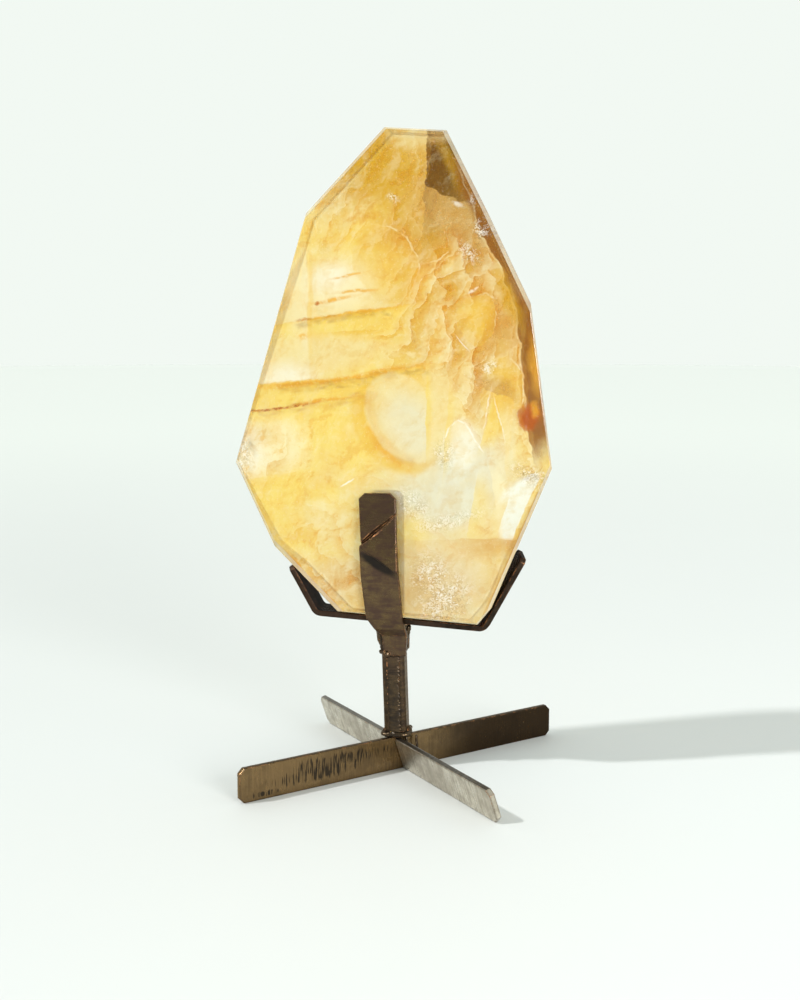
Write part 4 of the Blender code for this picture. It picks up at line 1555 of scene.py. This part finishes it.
@dataclass
class BronzeStand:
    """The welded stand: its packed bars with their patina, and the ripples of the weld beads."""

    long_bar_turn: float = math.radians(43.8)
    front_leg_turn: float = math.radians(-50.7)
    back_leg_turn: float = math.radians(129.5)
    ripple_spacing: float = 0.0010
    ripple_length: float = 0.0016
    ripple_stir: float = 0.00018
    ripple_least: tuple[float, float, float] = (0.82, 0.75, 0.85)
    ripple_most: tuple[float, float, float] = (1.08, 1.2, 1.25)
    bead_step: float = 0.002

    def dress(self, node: str, finish: BronzeFinish) -> None:
        """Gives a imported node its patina.

        Args:
            node: The node's name.
            finish: The patina.
        """
        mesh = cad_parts[node].data
        mesh.materials.clear()
        mesh.materials.append(finish.made())
        LOG.info("%s: dressed in %s", node, finish.name)

    def bead_lines(self, name: str, welds: Sequence[Weld]) -> bpy.types.Mesh:
        """Draws the lines that the weld beads follow.

        Args:
            name: The mesh's name.
            welds: The beads.

        Returns:
            A mesh of edges, with the way that each bead faces and its size.
        """
        lines = bmesh.new()
        facing = lines.verts.layers.float_vector.new("facing")
        girth = lines.verts.layers.float_vector.new("girth")
        for weld in welds:
            curve = smooth_line([Vector(point) * MM for point in weld.line], self.bead_step)
            points = [lines.verts.new(point) for point in curve]
            for point in points:
                point[facing] = Vector(weld.facing).normalized()
                point[girth] = Vector((weld.half_width * MM, weld.proud * MM, self.ripple_length))
            for start, end in zip(points, points[1:]):
                lines.edges.new((start, end))
        return mesh_from(name, lines)

    def ripple_tree(self, finish: bpy.types.Material) -> bpy.types.NodeTree:
        """Wires the nodes that lay the overlapping ripples of a weld bead along its line.

        Args:
            finish: The beads' material.

        Returns:
            The node tree.
        """
        wire, given = geometry_tree("weld_ripples", Ripple_spacing="Float", Stir="Float", Seed="Int")
        curve = wire.add("GeometryNodeMeshToCurve")
        wire.feed(curve.inputs["Mesh"], given["Geometry"])
        evenly = wire.add("GeometryNodeResampleCurve", mode="LENGTH")
        wire.feed(evenly.inputs["Curve"], curve.outputs[0])
        wire.feed(evenly.inputs["Length"], given["Ripple spacing"])
        chance = wire.add("FunctionNodeRandomValue", data_type="FLOAT_VECTOR")
        chance.inputs["Min"].default_value = (-1.0, -1.0, -1.0)
        wire.feed(chance.inputs["Seed"], given["Seed"])
        moved = wire.add("GeometryNodeSetPosition")
        wire.feed(moved.inputs["Geometry"], evenly.outputs[0])
        wire.feed(moved.inputs["Offset"], wire.vector("SCALE", chance.outputs["Value"], scale=given["Stir"]))
        upright = wire.add("FunctionNodeAlignRotationToVector", axis="Z")
        wire.feed(upright.inputs["Vector"], wire.add("GeometryNodeInputTangent").outputs[0])
        faced = wire.add("FunctionNodeAlignRotationToVector", axis="Y", pivot_axis="Z")
        wire.feed(faced.inputs["Rotation"], upright.outputs[0])
        outward = wire.add("GeometryNodeInputNamedAttribute", data_type="FLOAT_VECTOR")
        outward.inputs["Name"].default_value = "facing"
        wire.feed(faced.inputs["Vector"], outward.outputs["Attribute"])
        girth = wire.add("GeometryNodeInputNamedAttribute", data_type="FLOAT_VECTOR")
        girth.inputs["Name"].default_value = "girth"
        vary = wire.add("FunctionNodeRandomValue", data_type="FLOAT_VECTOR")
        vary.inputs["Min"].default_value = self.ripple_least
        vary.inputs["Max"].default_value = self.ripple_most
        wire.feed(vary.inputs["Seed"], given["Seed"])
        drop = wire.add("GeometryNodeMeshIcoSphere")
        drop.inputs["Radius"].default_value = 1.0
        drop.inputs["Subdivisions"].default_value = 3
        soft = wire.add("GeometryNodeSetShadeSmooth")
        wire.feed(soft.inputs[0], drop.outputs["Mesh"])
        place = wire.add("GeometryNodeInstanceOnPoints")
        wire.feed(place.inputs["Points"], moved.outputs[0])
        wire.feed(place.inputs["Instance"], soft.outputs[0])
        wire.feed(place.inputs["Rotation"], faced.outputs[0])
        sized = wire.vector("MULTIPLY", girth.outputs["Attribute"], vary.outputs["Value"])
        wire.feed(place.inputs["Scale"], sized)
        return end_tree(wire, place.outputs[0], finish)

    def build_beads(self, name: str, welds: Sequence[Weld], seed: int) -> None:
        """Lays weld beads, as one piece.

        Args:
            name: The piece's name.
            welds: The beads.
            seed: Which chance values they use.
        """
        finish = BronzeFinish(name + "_patina", MetalTone.BROWN, MetalTone.DARK, fibres=(90.0, 90.0, 300.0),
                              edge_reach=0.0004, copper_line=-9.0, edge=MetalTone.TAN)
        lines = self.bead_lines(name + "_lines", welds)
        mesh = run_geometry_nodes(name, lines, self.ripple_tree(finish.made()), {
            "Ripple spacing": self.ripple_spacing, "Stir": self.ripple_stir, "Seed": seed})
        new_piece(name, mesh, LEG_SLOT)

    def build(self) -> None:
        """Dresses every bar and lays the weld beads."""
        tone = MetalTone
        self.dress("long_leg_bar", BronzeFinish("bar_patina", tone.OCHRE, tone.TAN, self.long_bar_turn,
                                                marks=True, dark_from=0.0, sheen=tone.OCHRE))
        for node, name, turn in (("front_right_leg", "front_leg_patina", self.front_leg_turn),
                                 ("back_left_leg", "back_leg_patina", self.back_leg_turn)):
            self.dress(node, BronzeFinish(name, tone.PEWTER, tone.STEEL, turn, sheen=tone.STEEL,
                                          grazing=(1.0, 1.0, 1.0)))
        self.dress("post", BronzeFinish("post_patina", tone.BROWN, tone.DARK, fibres=(60.0, 60.0, 500.0),
                                        lacquer=0.12))
        self.dress("cradle_strap", BronzeFinish("strap_patina", tone.DARK, tone.SOOT,
                                                fibres=(700.0, 60.0, 60.0), lacquer=0.04, roughness=0.42,
                                                grazing=(0.25, 0.19, 0.14)))
        # The front prong gets a painted shadow under its lapped plate.
        self.dress("front_prong", BronzeFinish("front_prong_patina", tone.TAN, tone.UMBER, fibres=CROSSWISE,
                                               lap_shadow_at=(-12.3, 119.0, -32.2)))
        self.dress("back_prong", BronzeFinish("back_prong_patina", tone.TAN, tone.UMBER, fibres=CROSSWISE))
        self.build_beads("post_weld_beads", POST_WELDS, 3)
        self.build_beads("leg_weld_beads", LEG_WELDS, 5)


@dataclass
class Studio:
    """Plain pale floor and surroundings, a sun from the left, a soft panel at the right, and the camera."""

    camera_place: Vector = field(default_factory=lambda: Vector((0.12348, -0.71644, 0.2545)))
    camera_turn: float = math.radians(10.0)
    camera_dip: float = math.radians(8.0)
    lens: float = 48.0
    floor_radius: float = 6.0
    floor_sides: int = 96
    floor_fade: tuple[float, float] = (0.3, 2.4)
    floor_mottle: float = 0.985
    floor_colour: Rgb = (0.62, 0.64, 0.63)
    far_floor_colour: Rgb = (0.69, 0.72, 0.69)
    air_colour: Rgb = (0.94, 1.0, 0.945)
    air_strength: float = 0.945
    front_strength: float = 0.45
    air_fade: tuple[float, float] = (-0.7, 0.05)
    lit_point: Vector = field(default_factory=lambda: Vector((0.0, 0.0, 0.2)))
    sun_towards: Vector = field(default_factory=lambda: Vector((-0.62, -0.32, 0.72)))
    sun_power: float = 2.2
    sun_softness: float = math.radians(3.0)
    panel_place: Vector = field(default_factory=lambda: Vector((1.33, -1.60, 0.625)))
    panel_size: float = 0.85
    panel_power: float = 42.0

    def build_floor(self) -> None:
        """Lays the round floor, which is lighter far away, so that it runs into the pale air behind it."""
        disc = bmesh.new()
        bmesh.ops.create_circle(disc, cap_ends=True, segments=self.floor_sides, radius=self.floor_radius)
        mesh = mesh_from("studio_floor", disc)
        mix = Recipe("pale_floor")
        grain = mix.clouds(mix.place, 6.0, 3.0)
        darker = tuple(self.floor_mottle * part for part in self.floor_colour)
        far = mix.fade(mix.vector("LENGTH", mix.place), *self.floor_fade)
        near_tint = mix.blend(grain, self.floor_colour, darker)
        mix.surface(Base_Color=mix.blend(far, near_tint, self.far_floor_colour), Roughness=0.6,
                    Specular_IOR_Level=0.2)
        mesh.materials.append(mix.material)
        floor = bpy.data.objects.new("studio_floor", mesh)
        bpy.context.scene.collection.objects.link(floor)

    def build_air(self) -> None:
        """Sets the pale light that comes from all sides, dimmer in front of the stone than behind it."""
        world = bpy.data.worlds.new("studio_air")
        world.use_nodes = True
        wire = Wiring(world.node_tree)
        way = wire.add("ShaderNodeTexCoord").outputs["Generated"]
        behind = wire.vector("DOT_PRODUCT", way, (0.0, 1.0, 0.0))
        glow = world.node_tree.nodes["Background"]
        wire.feed(glow.inputs["Color"], self.air_colour)
        strength = wire.fade(behind, *self.air_fade, self.front_strength, self.air_strength)
        wire.feed(glow.inputs["Strength"], strength)
        bpy.context.scene.world = world

    def add_lamp(self, lamp: bpy.types.Light, place: Vector) -> None:
        """Hangs one lamp, aimed at the stone.

        Args:
            lamp: The lamp.
            place: Where it hangs.
        """
        holder = bpy.data.objects.new(lamp.name, lamp)
        holder.location = place
        holder.rotation_euler = (self.lit_point - place).to_track_quat("-Z", "Y").to_euler()
        bpy.context.scene.collection.objects.link(holder)

    def build_lights(self) -> None:
        """Adds the sun from the left and a soft panel at the right front."""
        sun = bpy.data.lights.new("sun_lamp", "SUN")
        sun.energy = self.sun_power
        sun.angle = self.sun_softness
        self.add_lamp(sun, self.lit_point + self.sun_towards)
        panel = bpy.data.lights.new("right_panel", "AREA")
        panel.size = self.panel_size
        panel.energy = self.panel_power
        self.add_lamp(panel, self.panel_place)

    def build_camera(self) -> None:
        """Places the camera at the photograph's viewing angle."""
        camera = bpy.data.cameras.new("camera")
        camera.lens = self.lens
        holder = bpy.data.objects.new("camera", camera)
        look = Vector((-math.sin(self.camera_turn) * math.cos(self.camera_dip),
                       math.cos(self.camera_turn) * math.cos(self.camera_dip), -math.sin(self.camera_dip)))
        holder.location = self.camera_place
        holder.rotation_euler = look.to_track_quat("-Z", "Y").to_euler()
        bpy.context.scene.collection.objects.link(holder)
        bpy.context.scene.camera = holder

    def build(self) -> None:
        """Builds the studio."""
        self.build_floor()
        self.build_air()
        self.build_camera()
        self.build_lights()
        bpy.context.scene.view_settings.view_transform = "Standard"


def main() -> None:
    """Builds the studio, the stone and the stand in order."""
    logging.basicConfig(level=logging.INFO, format="%(name)s: %(message)s")
    Studio().build()
    QuartzSlab().build()
    BronzeStand().build()


if __name__ == "__main__":
    main()
